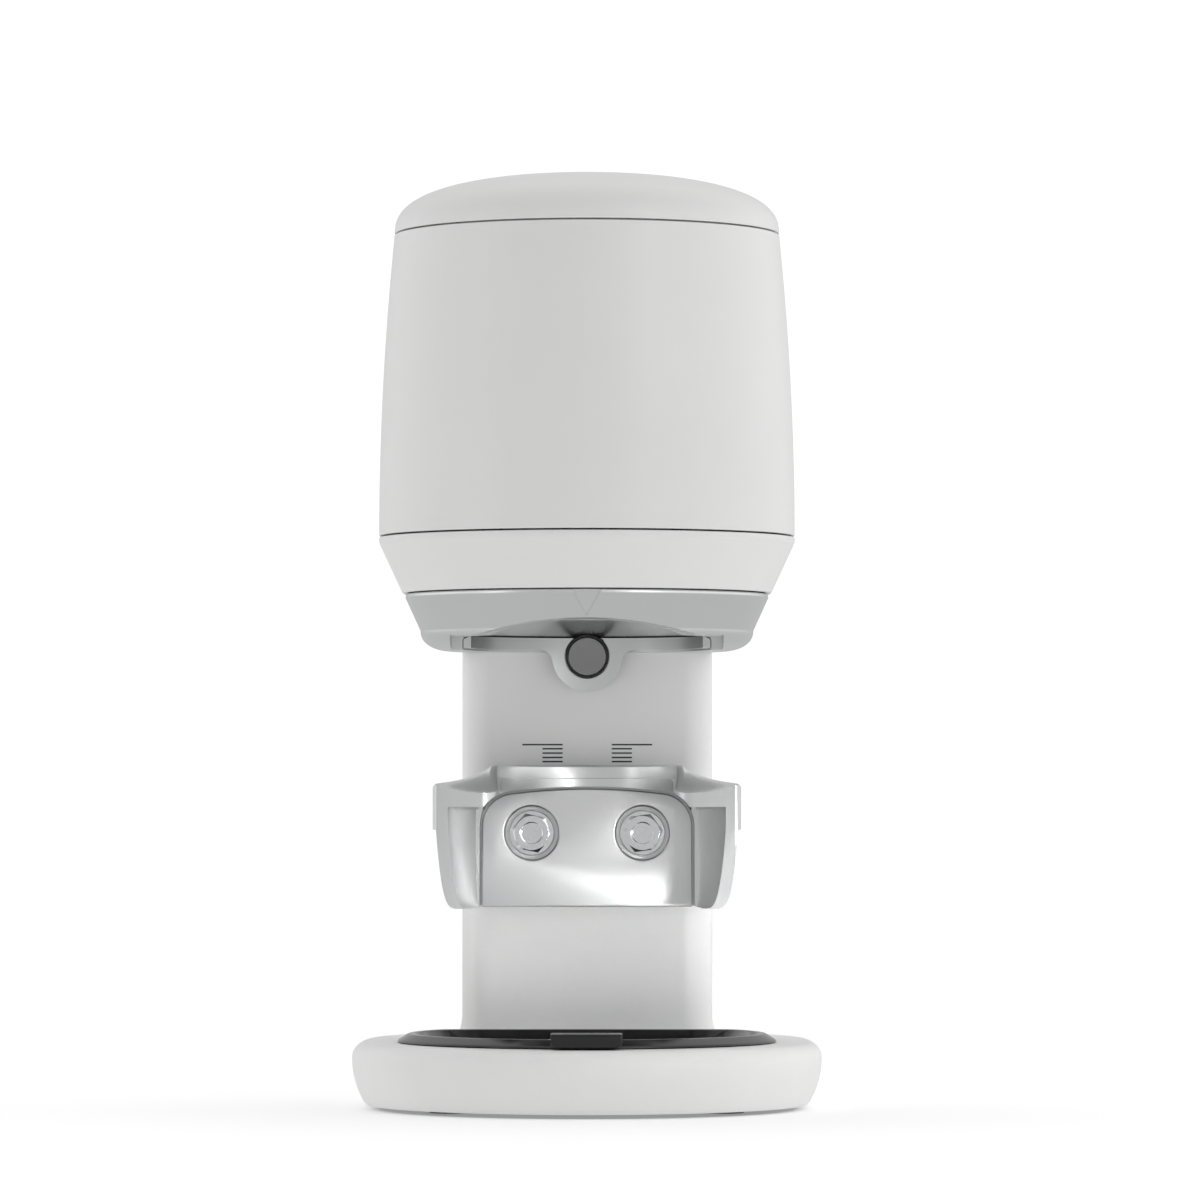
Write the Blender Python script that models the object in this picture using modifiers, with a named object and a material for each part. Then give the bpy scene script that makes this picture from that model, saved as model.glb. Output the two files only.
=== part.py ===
"""Automatic coffee tamper: a round head on a post, a fork that carries the portafilter, and a broad base.

Metres, +Z up, +X to the right, front at -Y. The origin is on the bench, under the middle of the outline.
Heights run up from the bench. The tamping axis is vertical and lies AXIS_Y from the origin; what is
"behind" it is a distance from that axis along +Y.
"""

import math

import bmesh
import bpy
import numpy as np
from mathutils import Matrix, Vector

mm = 0.001

# Overall
HEIGHT = 335.0 * mm
AXIS_Y = -8.0 * mm
GAP = 0.3 * mm  # between pieces that rest on each other

# Base
BASE_REACH = 84.2 * mm  # widest half width, and the reach in front of the axis
BASE_BACK = 100.2 * mm  # reach behind the axis
BASE_TOP = 23.7 * mm
BASE_UNDER = 1.5 * mm
BASE_FOOT_INSET = 4.9 * mm  # how far the sides lean in towards the bench
BASE_WALL = 4.2 * mm
BASE_ROOF = 4.6 * mm
PLATE_THICK = 2.5 * mm
FOOT_RADIUS = 8.0 * mm
FOOT_EDGE = 36.0 * mm  # from the sides and the back to a foot's middle
FOOT_FRONT_EDGE = 52.0 * mm
SCREW_EDGE = 20.0 * mm
SCREW_X = 26.0 * mm  # of the two screws at the back
SCREW_RADIUS = 2.6 * mm

# Tray
TRAY_RADIUS = 68.0 * mm
TRAY_BACK = 40.0 * mm
TRAY_RISE = 3.3 * mm
TRAY_SLOPE = 4.0 * mm
TRAY_RIM = 2.0 * mm
TRAY_DEPTH = 4.1 * mm
TRAY_SEAT = 8.0 * mm  # width of the flange that rests on the base
TAB_WIDTH = 25.0 * mm
TAB_REACH = 76.0 * mm
TAB_TOP = 5.6 * mm

# Column
COLUMN_WIDTH = 92.0 * mm
COLUMN_FRONT = 47.0 * mm  # front face behind the axis
COLUMN_BACK = 79.0 * mm
COLUMN_WALL = 3.2 * mm
COLUMN_FRONT_ROUND = 11.0 * mm
COLUMN_BACK_ROUND = 14.0 * mm
COLUMN_TOP = 188.2 * mm
COLUMN_FLARE = 1.6 * mm
WINDOW_WIDTH = 58.0 * mm
WINDOW_LOW = 36.0 * mm
WINDOW_HIGH = 150.0 * mm
SPINE_WIDTH = 62.0 * mm
SPINE_THICK = 6.0 * mm

# Head
HEAD_RADIUS = 74.7 * mm
BACK_RATIO = 1.3  # how much further the head reaches behind the axis than in front
BACK_POWER = 3.4  # squareness of the head's back half
COVER_LOW = 205.0 * mm
CAP_SEAM = 313.7 * mm
CAP_RADIUS = 69.2 * mm
COVER_WALL = 2.5 * mm
CAP_LIP = 4.0 * mm
RING_LOW = 184.8 * mm
RING_LOW_RADIUS = 66.3 * mm
RING_BAND = 1.8 * mm
RING_WALL = 2.6 * mm
BOWL_TOP = 184.4 * mm
BOWL_TOP_RADIUS = 65.8 * mm
BOWL_LOW = 164.5 * mm
BOWL_LOW_RADIUS = 49.5 * mm
BOWL_KNEE = 171.0 * mm
BOWL_KNEE_RADIUS = 59.8 * mm
BOWL_FLOOR = 179.4 * mm
BOWL_WALL = 4.0 * mm
TURRET_RADIUS = 36.0 * mm
BAY_RADIUS = 44.7 * mm
BAY_CREASE = 168.5 * mm
WELL_RADIUS = 30.5 * mm
WELL_LOW = 175.8 * mm
WELL_TOP = 183.4 * mm
MOUTH_WIDTH = 97.0 * mm
MOUTH_TOP = 169.0 * mm
ARCH_WIDTH = 77.0 * mm
ARCH_TOP = 174.5 * mm

# Button in the back wall of the bay
BRACKET_THICK = 2.7 * mm
BRACKET_LOW = 165.2 * mm
BUTTON_Z = 162.9 * mm
TONGUE_RADIUS = 12.8 * mm
TONGUE_FILLET = 4.5 * mm
BEZEL_RADIUS = 7.9 * mm
BEZEL_WALL = 0.7 * mm
BUTTON_PROUD = 0.9 * mm

# Drive
ROD_RADIUS = 11.0 * mm
ROD_BORE = 6.5 * mm
SCREW_SHAFT = 5.0 * mm
TAMPER_RADIUS = 29.2 * mm
TAMPER_THICK = 6.2 * mm
CHASSIS_THICK = 6.0 * mm
GUIDE_X = 34.0 * mm
GUIDE_RADIUS = 4.0 * mm
CROSSHEAD_Z = 238.0 * mm
CROSSHEAD_THICK = 8.0 * mm
UPPER_PLATE_Z = 285.0 * mm
UPPER_PLATE_THICK = 5.0 * mm
GEAR_MODULE = 1.5 * mm
GEAR_TEETH = 33
PINION_TEETH = 11
GEAR_FACE = 6.0 * mm
MESH_CLEARANCE = 0.25 * mm
MOTOR_RADIUS = 18.5 * mm
MOTOR_LENGTH = 58.0 * mm
MOTOR_SHAFT = 3.0 * mm
DECK_Z = 302.0 * mm
DECK_THICK = 3.0 * mm
DECK_RADIUS = 63.0 * mm
KEY_RADIUS = 5.0 * mm
KEY_X = 30.0 * mm
KEY_BEHIND = -34.0 * mm

# Portafilter fork
FORK_RADIUS = 55.2 * mm
FORK_WALL = 4.3 * mm
FORK_GAP = 31.0 * mm  # half the width between the wings
FORK_FRONT = 10.0 * mm  # how far the arms run in front of the axis
FORK_LOW = 71.6 * mm
FORK_LOW_RADIUS = 48.5 * mm
FORK_LIP = 108.0 * mm
FORK_STEP = 99.8 * mm
FORK_STEP_INSET = 1.2 * mm
FORK_TOP = 123.2 * mm
FORK_OUTER_TOP = 116.3 * mm
FORK_NOSE_TOP = 113.0 * mm
WEB_THICK = 4.4 * mm
CLAMP_WIDTH = 76.4 * mm
CLAMP_TOP = 114.5 * mm
CLAMP_THICK = 9.0 * mm
CLAMP_ROUND = 12.0 * mm
CLAMP_ARCH = 1.6 * mm
RIM_WIDTH = 3.2 * mm  # level rim round the opening of the collar
RIM_RISE = 18.0 * mm  # over this length the rim climbs from the nose to its full height
NOSE_ROUND = 7.0 * mm
SKIRT_END = 8.0 * mm  # behind the axis, where the collar's skirt starts to rise
SKIRT_RISE = 12.0 * mm
SEAT_GAP = 0.7 * mm  # above and beside the clamp plate
BOLT_X = 20.2 * mm
BOLT_Z = 98.4 * mm
BOLT_FLATS = 13.0 * mm
BOLT_HEAD = 5.3 * mm
BOLT_RADIUS = 4.0 * mm
WASHER_RADIUS = 8.2 * mm
WASHER_THICK = 1.6 * mm
COUNTERBORE_RADIUS = 9.7 * mm
NUT_SIDE = 15.0 * mm
NUT_THICK = 5.0 * mm
HOLDER_DOWN = 4.0 * mm
HOLDER_UP = 8.0 * mm

# Rear socket and switch
INLET_Z = 54.0 * mm
INLET_WIDTH = 27.0 * mm
INLET_HEIGHT = 19.4 * mm
INLET_DEPTH = 13.0 * mm
INLET_WALL = 2.4 * mm
SWITCH_Z = 84.0 * mm
SWITCH_WIDTH = 21.6 * mm
SWITCH_HEIGHT = 16.0 * mm
SWITCH_DEPTH = 11.0 * mm
SWITCH_WALL = 1.5 * mm

HEAD_STEPS = 40
ROUND_STEPS = 32
SMALL_STEPS = 16

for old in list(bpy.data.objects):
    bpy.data.objects.remove(old, do_unlink=True)

parts = bpy.data.collections.new("coffee_tamper")
cutters = bpy.data.collections.new("cutters")
bpy.context.scene.collection.children.link(parts)
bpy.context.scene.collection.children.link(cutters)
cutters.hide_render = True


# Finishes ---------------------------------------------------------------------------------------


def finish(name, colour, roughness, metallic):
    """A plain material of one colour."""
    made = bpy.data.materials.new(name)
    made.use_nodes = True
    shader = made.node_tree.nodes["Principled BSDF"]
    shader.inputs["Base Color"].default_value = (*colour, 1.0)
    shader.inputs["Roughness"].default_value = roughness
    shader.inputs["Metallic"].default_value = metallic
    made.diffuse_color = (*colour, 1.0)
    return made


FINISHES = {
    "white_paint": finish("white_paint", (0.80, 0.80, 0.79), 0.45, 0.0),
    "silver_cast": finish("silver_cast", (0.66, 0.67, 0.67), 0.32, 0.9),
    "brushed_plate": finish("brushed_plate", (0.70, 0.71, 0.71), 0.3, 1.0),
    "zinc_steel": finish("zinc_steel", (0.72, 0.73, 0.74), 0.22, 1.0),
    "black_gloss": finish("black_gloss", (0.012, 0.012, 0.013), 0.16, 0.0),
    "black_plastic": finish("black_plastic", (0.02, 0.02, 0.022), 0.5, 0.0),
    "button_grey": finish("button_grey", (0.27, 0.27, 0.27), 0.5, 0.0),
    "rubber": finish("rubber", (0.03, 0.03, 0.03), 0.8, 0.0),
    "dark_steel": finish("dark_steel", (0.28, 0.29, 0.30), 0.4, 1.0),
    "bronze": finish("bronze", (0.55, 0.38, 0.20), 0.4, 1.0),
    "board": finish("board", (0.03, 0.20, 0.08), 0.5, 0.0),
    "display": finish("display", (0.01, 0.01, 0.012), 0.1, 0.0),
}


# Bodies -----------------------------------------------------------------------------------------


def empty(name, place):
    """The frame that a moving body's pieces hang from, on its joint's axis."""
    made = bpy.data.objects.new(name, None)
    made.empty_display_size = 0.01
    made.location = place
    parts.objects.link(made)
    return made


GEAR_BEHIND = (GEAR_TEETH + PINION_TEETH) * GEAR_MODULE / 2 + MESH_CLEARANCE
ROCKER_BEHIND = COLUMN_BACK - 3.4 * mm
BODIES = {
    "stand": empty("stand", (0, 0, 0)),
    "tamper": empty("tamper", (0, AXIS_Y, BOWL_LOW)),
    "screw": empty("screw", (0, AXIS_Y, UPPER_PLATE_Z)),
    "pinion": empty("pinion", (0, AXIS_Y + GEAR_BEHIND, UPPER_PLATE_Z)),
    "holder": empty("holder", (0, AXIS_Y, BOLT_Z)),
    "start": empty("start", (0, AXIS_Y + COLUMN_FRONT, BUTTON_Z)),
    "lid": empty("lid", (0, AXIS_Y, CAP_SEAM)),
    "key_left": empty("key_left", (-KEY_X, AXIS_Y + KEY_BEHIND, DECK_Z)),
    "key_right": empty("key_right", (KEY_X, AXIS_Y + KEY_BEHIND, DECK_Z)),
    "tray": empty("tray", (0, AXIS_Y, BASE_TOP)),
    "rocker": empty("rocker", (0, AXIS_Y + ROCKER_BEHIND, SWITCH_Z)),
}


def place(obj, finish_name, body="stand"):
    """Gives a piece its finish and hangs it from its body's frame, where it stands."""
    frame = BODIES[body]
    obj.parent = frame
    obj.matrix_parent_inverse = Matrix.Translation(-Vector(frame.location))
    obj.data.materials.clear()
    obj.data.materials.append(FINISHES[finish_name])
    return obj


# Shapes -----------------------------------------------------------------------------------------


def add(name, mesh, at=(0, 0, 0), into=parts):
    obj = bpy.data.objects.new(name, mesh)
    obj.location = at
    into.objects.link(obj)
    return obj


def smooth(obj, degrees=35):
    obj.data.shade_smooth()
    obj.data.set_sharp_from_angle(angle=math.radians(degrees))
    return obj


def block(name, low, high, into=parts):
    """A box between two corners, its origin at its middle."""
    low = Vector(low)
    high = Vector(high)
    shape = bmesh.new()
    bmesh.ops.create_cube(shape, size=1.0)
    bmesh.ops.scale(shape, vec=high - low, verts=shape.verts)
    mesh = bpy.data.meshes.new(name)
    shape.to_mesh(mesh)
    shape.free()
    return add(name, mesh, (low + high) / 2, into)


AXES = {
    "X": Matrix.Rotation(math.radians(90), 4, "Y"),
    "Y": Matrix.Rotation(math.radians(-90), 4, "X"),
    "Z": Matrix.Identity(4),
}


def rod(name, radius, start, length, axis="Z", steps=SMALL_STEPS, into=parts):
    """A cylinder from start, length along +axis."""
    shape = bmesh.new()
    bmesh.ops.create_cone(
        shape, cap_ends=True, segments=steps, radius1=radius, radius2=radius, depth=length
    )
    bmesh.ops.translate(shape, vec=(0, 0, length / 2), verts=shape.verts)
    bmesh.ops.transform(shape, matrix=AXES[axis], verts=shape.verts)
    mesh = bpy.data.meshes.new(name)
    shape.to_mesh(mesh)
    shape.free()
    return smooth(add(name, mesh, start, into))


def turned(name, profile, at, closed=True, axis="Z", steps=ROUND_STEPS, into=parts):
    """A profile of (radius, height) points, down its outer side, turned about an axis through `at`."""
    mesh = bpy.data.meshes.new(name)
    points = [(radius, 0, height) for radius, height in profile]
    edges = [(i, i + 1) for i in range(len(points) - 1)]
    if closed:
        edges.append((len(points) - 1, 0))
    mesh.from_pydata(points, edges, [])
    obj = add(name, mesh, at, into)
    obj.rotation_euler = AXES[axis].to_euler()
    screw = obj.modifiers.new("turn", "SCREW")
    screw.steps = steps
    screw.render_steps = steps
    screw.use_smooth_shade = True
    screw.use_merge_vertices = True
    screw.merge_threshold = 0.00001
    return obj


def ring_profile(outer, inner, low, high):
    """The closed profile of a plain ring."""
    return [(outer, high), (outer, low), (inner, low), (inner, high)]


def loft(name, rings, loop=False, at=(0, 0, 0), into=parts):
    """Skins rings of equal count. A loop joins the last ring to the first; otherwise both ends are capped."""
    rings = [np.asarray(ring) for ring in rings]
    count = len(rings[0])
    shape = bmesh.new()
    rows = [[shape.verts.new(point) for point in ring] for ring in rings]
    pairs = list(zip(rows, rows[1:]))
    if loop:
        pairs.append((rows[-1], rows[0]))
    for lower, upper in pairs:
        for i in range(count):
            j = (i + 1) % count
            shape.faces.new((lower[i], lower[j], upper[j], upper[i]))
    if not loop:
        shape.faces.new(list(reversed(rows[0])))
        shape.faces.new(rows[-1])
    bmesh.ops.recalc_face_normals(shape, faces=shape.faces)
    mesh = bpy.data.meshes.new(name)
    shape.to_mesh(mesh)
    shape.free()
    return smooth(add(name, mesh, at, into))


def flat(name, outlines, thickness, at, upright=False, into=parts):
    """A plate from its outline and the outlines of its holes. Lying, it rises from `at`; upright, it
    stands in X and Z and runs back from `at`."""
    curve = bpy.data.curves.new(name, "CURVE")
    curve.dimensions = "2D"
    curve.fill_mode = "BOTH"
    curve.extrude = thickness / 2
    for outline in outlines:
        spline = curve.splines.new("POLY")
        spline.points.add(len(outline) - 1)
        for point, (across, along) in zip(spline.points, outline):
            point.co = (across, along, 0, 1)
        spline.use_cyclic_u = True
    guide = bpy.data.objects.new(name + "_curve", curve)
    bpy.context.scene.collection.objects.link(guide)
    bpy.context.view_layer.update()
    graph = bpy.context.evaluated_depsgraph_get()
    mesh = bpy.data.meshes.new_from_object(guide.evaluated_get(graph))
    bpy.data.objects.remove(guide, do_unlink=True)
    shape = bmesh.new()
    shape.from_mesh(mesh)
    bmesh.ops.remove_doubles(shape, verts=shape.verts, dist=0.000001)
    bmesh.ops.translate(shape, vec=(0, 0, thickness / 2), verts=shape.verts)
    if upright:
        upturn = Matrix.Rotation(math.radians(90), 4, "X")
        bmesh.ops.transform(shape, matrix=upturn, verts=shape.verts)
        bmesh.ops.translate(shape, vec=(0, thickness, 0), verts=shape.verts)
    bmesh.ops.recalc_face_normals(shape, faces=shape.faces)
    shape.to_mesh(mesh)
    shape.free()
    mesh.name = name
    return smooth(add(name, mesh, at, into))


def boolean(obj, other, operation):
    """Cuts, joins or trims a piece by a helper, which stays in the cutters' collection."""
    other.hide_render = True
    other.display_type = "WIRE"
    change = obj.modifiers.new(other.name, "BOOLEAN")
    change.operation = operation
    change.solver = "EXACT"
    change.object = other


def cut(obj, *others):
    for other in others:
        boolean(obj, other, "DIFFERENCE")


def rounded(obj, width, segments=2, degrees=40):
    """Rounds the edges of a piece whose scale is applied."""
    bevel = obj.modifiers.new("edge", "BEVEL")
    bevel.width = width
    bevel.segments = segments
    bevel.limit_method = "ANGLE"
    bevel.angle_limit = math.radians(degrees)
    return obj


# Outlines ---------------------------------------------------------------------------------------


def circle(radius, centre=(0, 0), steps=SMALL_STEPS):
    angles = np.linspace(0, 2 * math.pi, steps, endpoint=False)
    return [(centre[0] + radius * math.cos(a), centre[1] + radius * math.sin(a)) for a in angles]


def arc(centre, radius, start, end, steps):
    """Points on an arc, both ends included, angles in degrees."""
    angles = np.radians(np.linspace(start, end, steps))
    return [(centre[0] + radius * math.cos(a), centre[1] + radius * math.sin(a)) for a in angles]


def round_box(left, right, low, high, radius, steps=4):
    """A rectangle with round corners, counter-clockwise."""
    return (
        arc((right - radius, high - radius), radius, 0, 90, steps)
        + arc((left + radius, high - radius), radius, 90, 180, steps)
        + arc((left + radius, low + radius), radius, 180, 270, steps)
        + arc((right - radius, low + radius), radius, 270, 360, steps)
    )


def head_outline(radius, ratio=BACK_RATIO, power=BACK_POWER, steps=HEAD_STEPS):
    """Round in front of the axis; behind it a squarer curve that reaches ratio times as far."""
    angles = np.linspace(0, 2 * math.pi, steps, endpoint=False)
    across = np.abs(np.cos(angles))
    along = np.abs(np.sin(angles))
    behind = np.sin(angles) > 0
    bend = np.where(behind, power, 2.0)
    depth = np.where(behind, radius * ratio, radius)
    reach = ((across / radius) ** bend + (along / depth) ** bend) ** (-1 / bend)
    return np.stack([reach * np.cos(angles), reach * np.sin(angles)], axis=1)


def level(outline, z):
    """An outline about the tamping axis, as a ring at a height."""
    outline = np.asarray(outline)
    return np.column_stack([outline[:, 0], outline[:, 1] + AXIS_Y, np.full(len(outline), z)])


def head_ring(radius, z, ratio=BACK_RATIO):
    return level(head_outline(radius, ratio), z)


# Base and tray ----------------------------------------------------------------------------------


def base_ring(radius, z):
    return level(head_outline(radius, BASE_BACK / BASE_REACH), z)


def tray_ring(radius, z):
    """A circle about the tamping axis with its back cut straight."""
    angles = np.linspace(0, 2 * math.pi, HEAD_STEPS, endpoint=False)
    back = TRAY_BACK - (TRAY_RADIUS - radius)
    reach = np.minimum(radius, back / np.maximum(np.sin(angles), 0.001))
    return level(np.stack([reach * np.cos(angles), reach * np.sin(angles)], axis=1), z)


TRAY_LOW = BASE_TOP - TRAY_DEPTH + GAP
TRAY_BODY = TRAY_RADIUS - TRAY_SEAT
BASE_CEILING = BASE_TOP - TRAY_DEPTH - BASE_ROOF
PLATE_LOW = BASE_UNDER + GAP
SPINE_FRONT = COLUMN_FRONT + COLUMN_WALL + NUT_THICK + 4 * mm


def pairs(places):
    """Each place and its mirror image."""
    return [(side * x, y) for x, y in places for side in (-1, 1)]


FOOT_PLACES = pairs(
    [
        (BASE_REACH - FOOT_EDGE, AXIS_Y + FOOT_FRONT_EDGE - BASE_REACH),
        (BASE_REACH - FOOT_EDGE, AXIS_Y + BASE_BACK - FOOT_EDGE),
    ]
)
SCREW_PLACES = pairs(
    [
        (BASE_REACH - SCREW_EDGE, AXIS_Y + SCREW_EDGE),
        (SCREW_X, AXIS_Y + BASE_BACK - SCREW_EDGE),
    ]
)


def make_base():
    lean = BASE_REACH - BASE_FOOT_INSET
    tilt = BASE_FOOT_INSET / (BASE_TOP - 6 * mm - BASE_UNDER) ** 2
    side = [
        (BASE_REACH - tilt * (BASE_TOP - 6 * mm - z) ** 2, z)
        for z in np.linspace(BASE_UNDER + 1 * mm, BASE_TOP - 6 * mm, 5)
    ]
    rim = arc((BASE_REACH - 5 * mm, BASE_TOP - 5 * mm), 5 * mm, 0, 90, 5)
    rings = [base_ring(lean - 1 * mm, BASE_UNDER)]
    rings += [base_ring(radius, z) for radius, z in side]
    rings += [base_ring(radius, z) for radius, z in rim]
    base = loft("base_casting", rings)
    hollow = lean - BASE_WALL
    cut(
        base,
        loft(
            "base_hollow",
            [base_ring(hollow, BASE_UNDER - 5 * mm), base_ring(hollow, BASE_CEILING)],
            into=cutters,
        ),
        loft(
            "tray_pocket",
            [
                tray_ring(TRAY_BODY + GAP, BASE_TOP - TRAY_DEPTH),
                tray_ring(TRAY_BODY + GAP, BASE_TOP + 5 * mm),
            ],
            into=cutters,
        ),
        block(
            "spine_slot",
            (-SPINE_WIDTH / 2 - 2 * mm, AXIS_Y + SPINE_FRONT - 2 * mm, BASE_CEILING - 5 * mm),
            (SPINE_WIDTH / 2 + 2 * mm, AXIS_Y + SPINE_FRONT + SPINE_THICK + 2 * mm, BASE_TOP + 5 * mm),
            into=cutters,
        ),
    )
    place(base, "white_paint")

    outline = base_ring(hollow - GAP, 0)[::2, :2]
    holes = [circle(SCREW_RADIUS + GAP, (x, y), 12)[::-1] for x, y in SCREW_PLACES]
    place(flat("bottom_plate", [outline, *holes], PLATE_THICK, (0, 0, PLATE_LOW)), "dark_steel")
    for number, (x, y) in enumerate(FOOT_PLACES, 1):
        foot = turned(
            f"foot_{number}",
            [(0, PLATE_LOW - GAP), (FOOT_RADIUS - 1 * mm, PLATE_LOW - GAP), (FOOT_RADIUS, 0.8 * mm),
             (FOOT_RADIUS - 0.6 * mm, 0), (0, 0)],
            (x, y, 0),
            closed=False,
            steps=SMALL_STEPS,
        )
        place(foot, "rubber")
    for number, (x, y) in enumerate(SCREW_PLACES, 1):
        top = PLATE_LOW + PLATE_THICK + 6 * mm
        screw = turned(
            f"plate_screw_{number}",
            [(0, top), (SCREW_RADIUS, top), (SCREW_RADIUS, PLATE_LOW - GAP), (0, PLATE_LOW - GAP)],
            (x, y, 0),
            closed=False,
            steps=12,
        )
        place(screw, "zinc_steel")


def make_tray():
    rim = BASE_TOP + TRAY_RISE
    seat = BASE_TOP + GAP
    floor = TRAY_LOW + 1.6 * mm
    inner = TRAY_RADIUS - TRAY_SLOPE - TRAY_RIM
    rings = [
        tray_ring(TRAY_BODY - 6 * mm, TRAY_LOW),
        tray_ring(TRAY_BODY, TRAY_LOW + 0.6 * mm),
        tray_ring(TRAY_BODY, seat),
        tray_ring(TRAY_RADIUS, seat),
        tray_ring(TRAY_RADIUS - 0.3 * mm, seat + 0.6 * mm),
        tray_ring(TRAY_RADIUS - TRAY_SLOPE, rim),
        tray_ring(inner, rim),
        tray_ring(TRAY_BODY - 3 * mm, floor + 1 * mm),
        tray_ring(TRAY_BODY - 7 * mm, floor),
    ]
    tray = loft("tamping_tray", rings)
    front = AXIS_Y - TAB_REACH
    tab = block(
        "tray_tab",
        (-TAB_WIDTH / 2, front, seat + 0.4 * mm),
        (TAB_WIDTH / 2, AXIS_Y - inner + 0.7 * mm, BASE_TOP + TAB_TOP),
        into=cutters,
    )
    rounded(tab, 1.4 * mm)
    boolean(tray, tab, "UNION")
    place(tray, "black_gloss", "tray")


# Column -----------------------------------------------------------------------------------------


def column_outline(inset=0.0, spread=0.0):
    """The post's plan: a flat front, rounder corners behind. Counter-clockwise from the back right."""
    half = COLUMN_WIDTH / 2 - inset + spread
    front = COLUMN_FRONT + inset - spread
    back = COLUMN_BACK - inset + spread
    soft = COLUMN_BACK_ROUND - inset + spread
    crisp = COLUMN_FRONT_ROUND - inset + spread
    return (
        arc((half - soft, back - soft), soft, 0, 90, 6)
        + arc((soft - half, back - soft), soft, 90, 180, 6)
        + arc((crisp - half, front + crisp), crisp, 180, 270, 6)
        + arc((half - crisp, front + crisp), crisp, 270, 360, 6)
    )


def make_column():
    low = BASE_TOP + GAP
    flare = [
        (COLUMN_FLARE * (1 - rise / (8 * mm)) ** 2, low + rise) for rise in (0, 2 * mm, 4.5 * mm, 8 * mm)
    ]
    rings = [level(column_outline(COLUMN_WALL), low)]
    rings += [level(column_outline(0, spread), z) for spread, z in flare]
    rings += [level(column_outline(), COLUMN_TOP), level(column_outline(COLUMN_WALL), COLUMN_TOP)]
    column = loft("column_shell", rings, loop=True)
    slot_low = BOLT_Z - HOLDER_DOWN
    slot_high = BOLT_Z + HOLDER_UP
    reach = BOLT_RADIUS + GAP
    for side in (-1, 1):
        outline = round_box(-reach, reach, slot_low - reach, slot_high + reach, reach - 0.01 * mm)
        slot = flat(
            "bolt_slot",
            [outline],
            3 * COLUMN_WALL,
            (side * BOLT_X, AXIS_Y + COLUMN_FRONT - COLUMN_WALL, 0),
            upright=True,
            into=cutters,
        )
        cut(column, slot)
    window = round_box(-WINDOW_WIDTH / 2, WINDOW_WIDTH / 2, WINDOW_LOW, WINDOW_HIGH, 3 * mm)
    behind = AXIS_Y + COLUMN_BACK
    opening = flat("rear_window", [window], 3 * COLUMN_WALL, (0, behind - 2 * COLUMN_WALL, 0), True, cutters)
    cut(column, opening)
    place(column, "white_paint")

    half = WINDOW_WIDTH / 2 - GAP
    plate = round_box(-half, half, WINDOW_LOW + GAP, WINDOW_HIGH - GAP, 2.7 * mm)
    socket = round_box(
        -INLET_WIDTH / 2 - GAP,
        INLET_WIDTH / 2 + GAP,
        INLET_Z - INLET_HEIGHT / 2 - GAP,
        INLET_Z + INLET_HEIGHT / 2 + GAP,
        GAP,
        2,
    )
    switch = round_box(
        -SWITCH_WIDTH / 2 - GAP,
        SWITCH_WIDTH / 2 + GAP,
        SWITCH_Z - SWITCH_HEIGHT / 2 - GAP,
        SWITCH_Z + SWITCH_HEIGHT / 2 + GAP,
        GAP,
        2,
    )
    cover = flat(
        "column_rear_cover",
        [plate, socket[::-1], switch[::-1]],
        2.4 * mm,
        (0, behind - 2.4 * mm, 0),
        upright=True,
    )
    place(cover, "black_plastic")

    spine = block(
        "column_spine",
        (-SPINE_WIDTH / 2, AXIS_Y + SPINE_FRONT, PLATE_LOW + PLATE_THICK + GAP),
        (SPINE_WIDTH / 2, AXIS_Y + SPINE_FRONT + SPINE_THICK, COLUMN_TOP),
    )
    place(rounded(spine, 0.8 * mm, 1), "dark_steel")


def make_rear_socket():
    behind = AXIS_Y + COLUMN_BACK
    half = Vector((INLET_WIDTH / 2, 0, INLET_HEIGHT / 2))
    inlet = block(
        "power_inlet",
        Vector((0, behind - INLET_DEPTH, INLET_Z)) - half,
        Vector((0, behind + 0.6 * mm, INLET_Z)) + half,
    )
    hole = Vector((INLET_WALL, 0, INLET_WALL))
    cut(
        inlet,
        block(
            "inlet_socket",
            Vector((0, behind - INLET_DEPTH + INLET_WALL, INLET_Z)) - half + hole,
            Vector((0, behind + 5 * mm, INLET_Z)) + half - hole,
            into=cutters,
        ),
    )
    place(inlet, "black_plastic")

    frame = Vector((SWITCH_WIDTH / 2, 0, SWITCH_HEIGHT / 2))
    inside = Vector((SWITCH_WALL, 0, SWITCH_WALL))
    housing = block(
        "switch_housing",
        Vector((0, behind - SWITCH_DEPTH, SWITCH_Z)) - frame,
        Vector((0, behind + 0.6 * mm, SWITCH_Z)) + frame,
    )
    cut(
        housing,
        block(
            "switch_well",
            Vector((0, behind - SWITCH_DEPTH + SWITCH_WALL, SWITCH_Z)) - frame + inside,
            Vector((0, behind + 5 * mm, SWITCH_Z)) + frame - inside,
            into=cutters,
        ),
    )
    place(housing, "black_plastic")

    tall = SWITCH_HEIGHT / 2 - SWITCH_WALL - 1.3 * mm
    deep = 3.0 * mm
    profile = [(-deep, -0.5 * tall), (-0.4 * deep, -tall), (0.9 * deep, -tall), (0.55 * deep, 0),
               (1.3 * deep, tall), (-0.2 * deep, tall), (-deep, 0.5 * tall)]
    wide = SWITCH_WIDTH - 2 * SWITCH_WALL - 2 * GAP
    rocker = loft(
        "power_rocker",
        [[(side * wide / 2, y, z) for y, z in profile] for side in (-1, 1)],
        at=(0, AXIS_Y + ROCKER_BEHIND, SWITCH_Z),
    )
    place(rocker, "black_plastic", "rocker")


# Head shells ------------------------------------------------------------------------------------


def cover_radius(z):
    """The cover leans in towards its top, slowly at first."""
    rise = (z - COVER_LOW) / (CAP_SEAM - COVER_LOW)
    return HEAD_RADIUS - (HEAD_RADIUS - CAP_RADIUS) * rise**2


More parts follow.
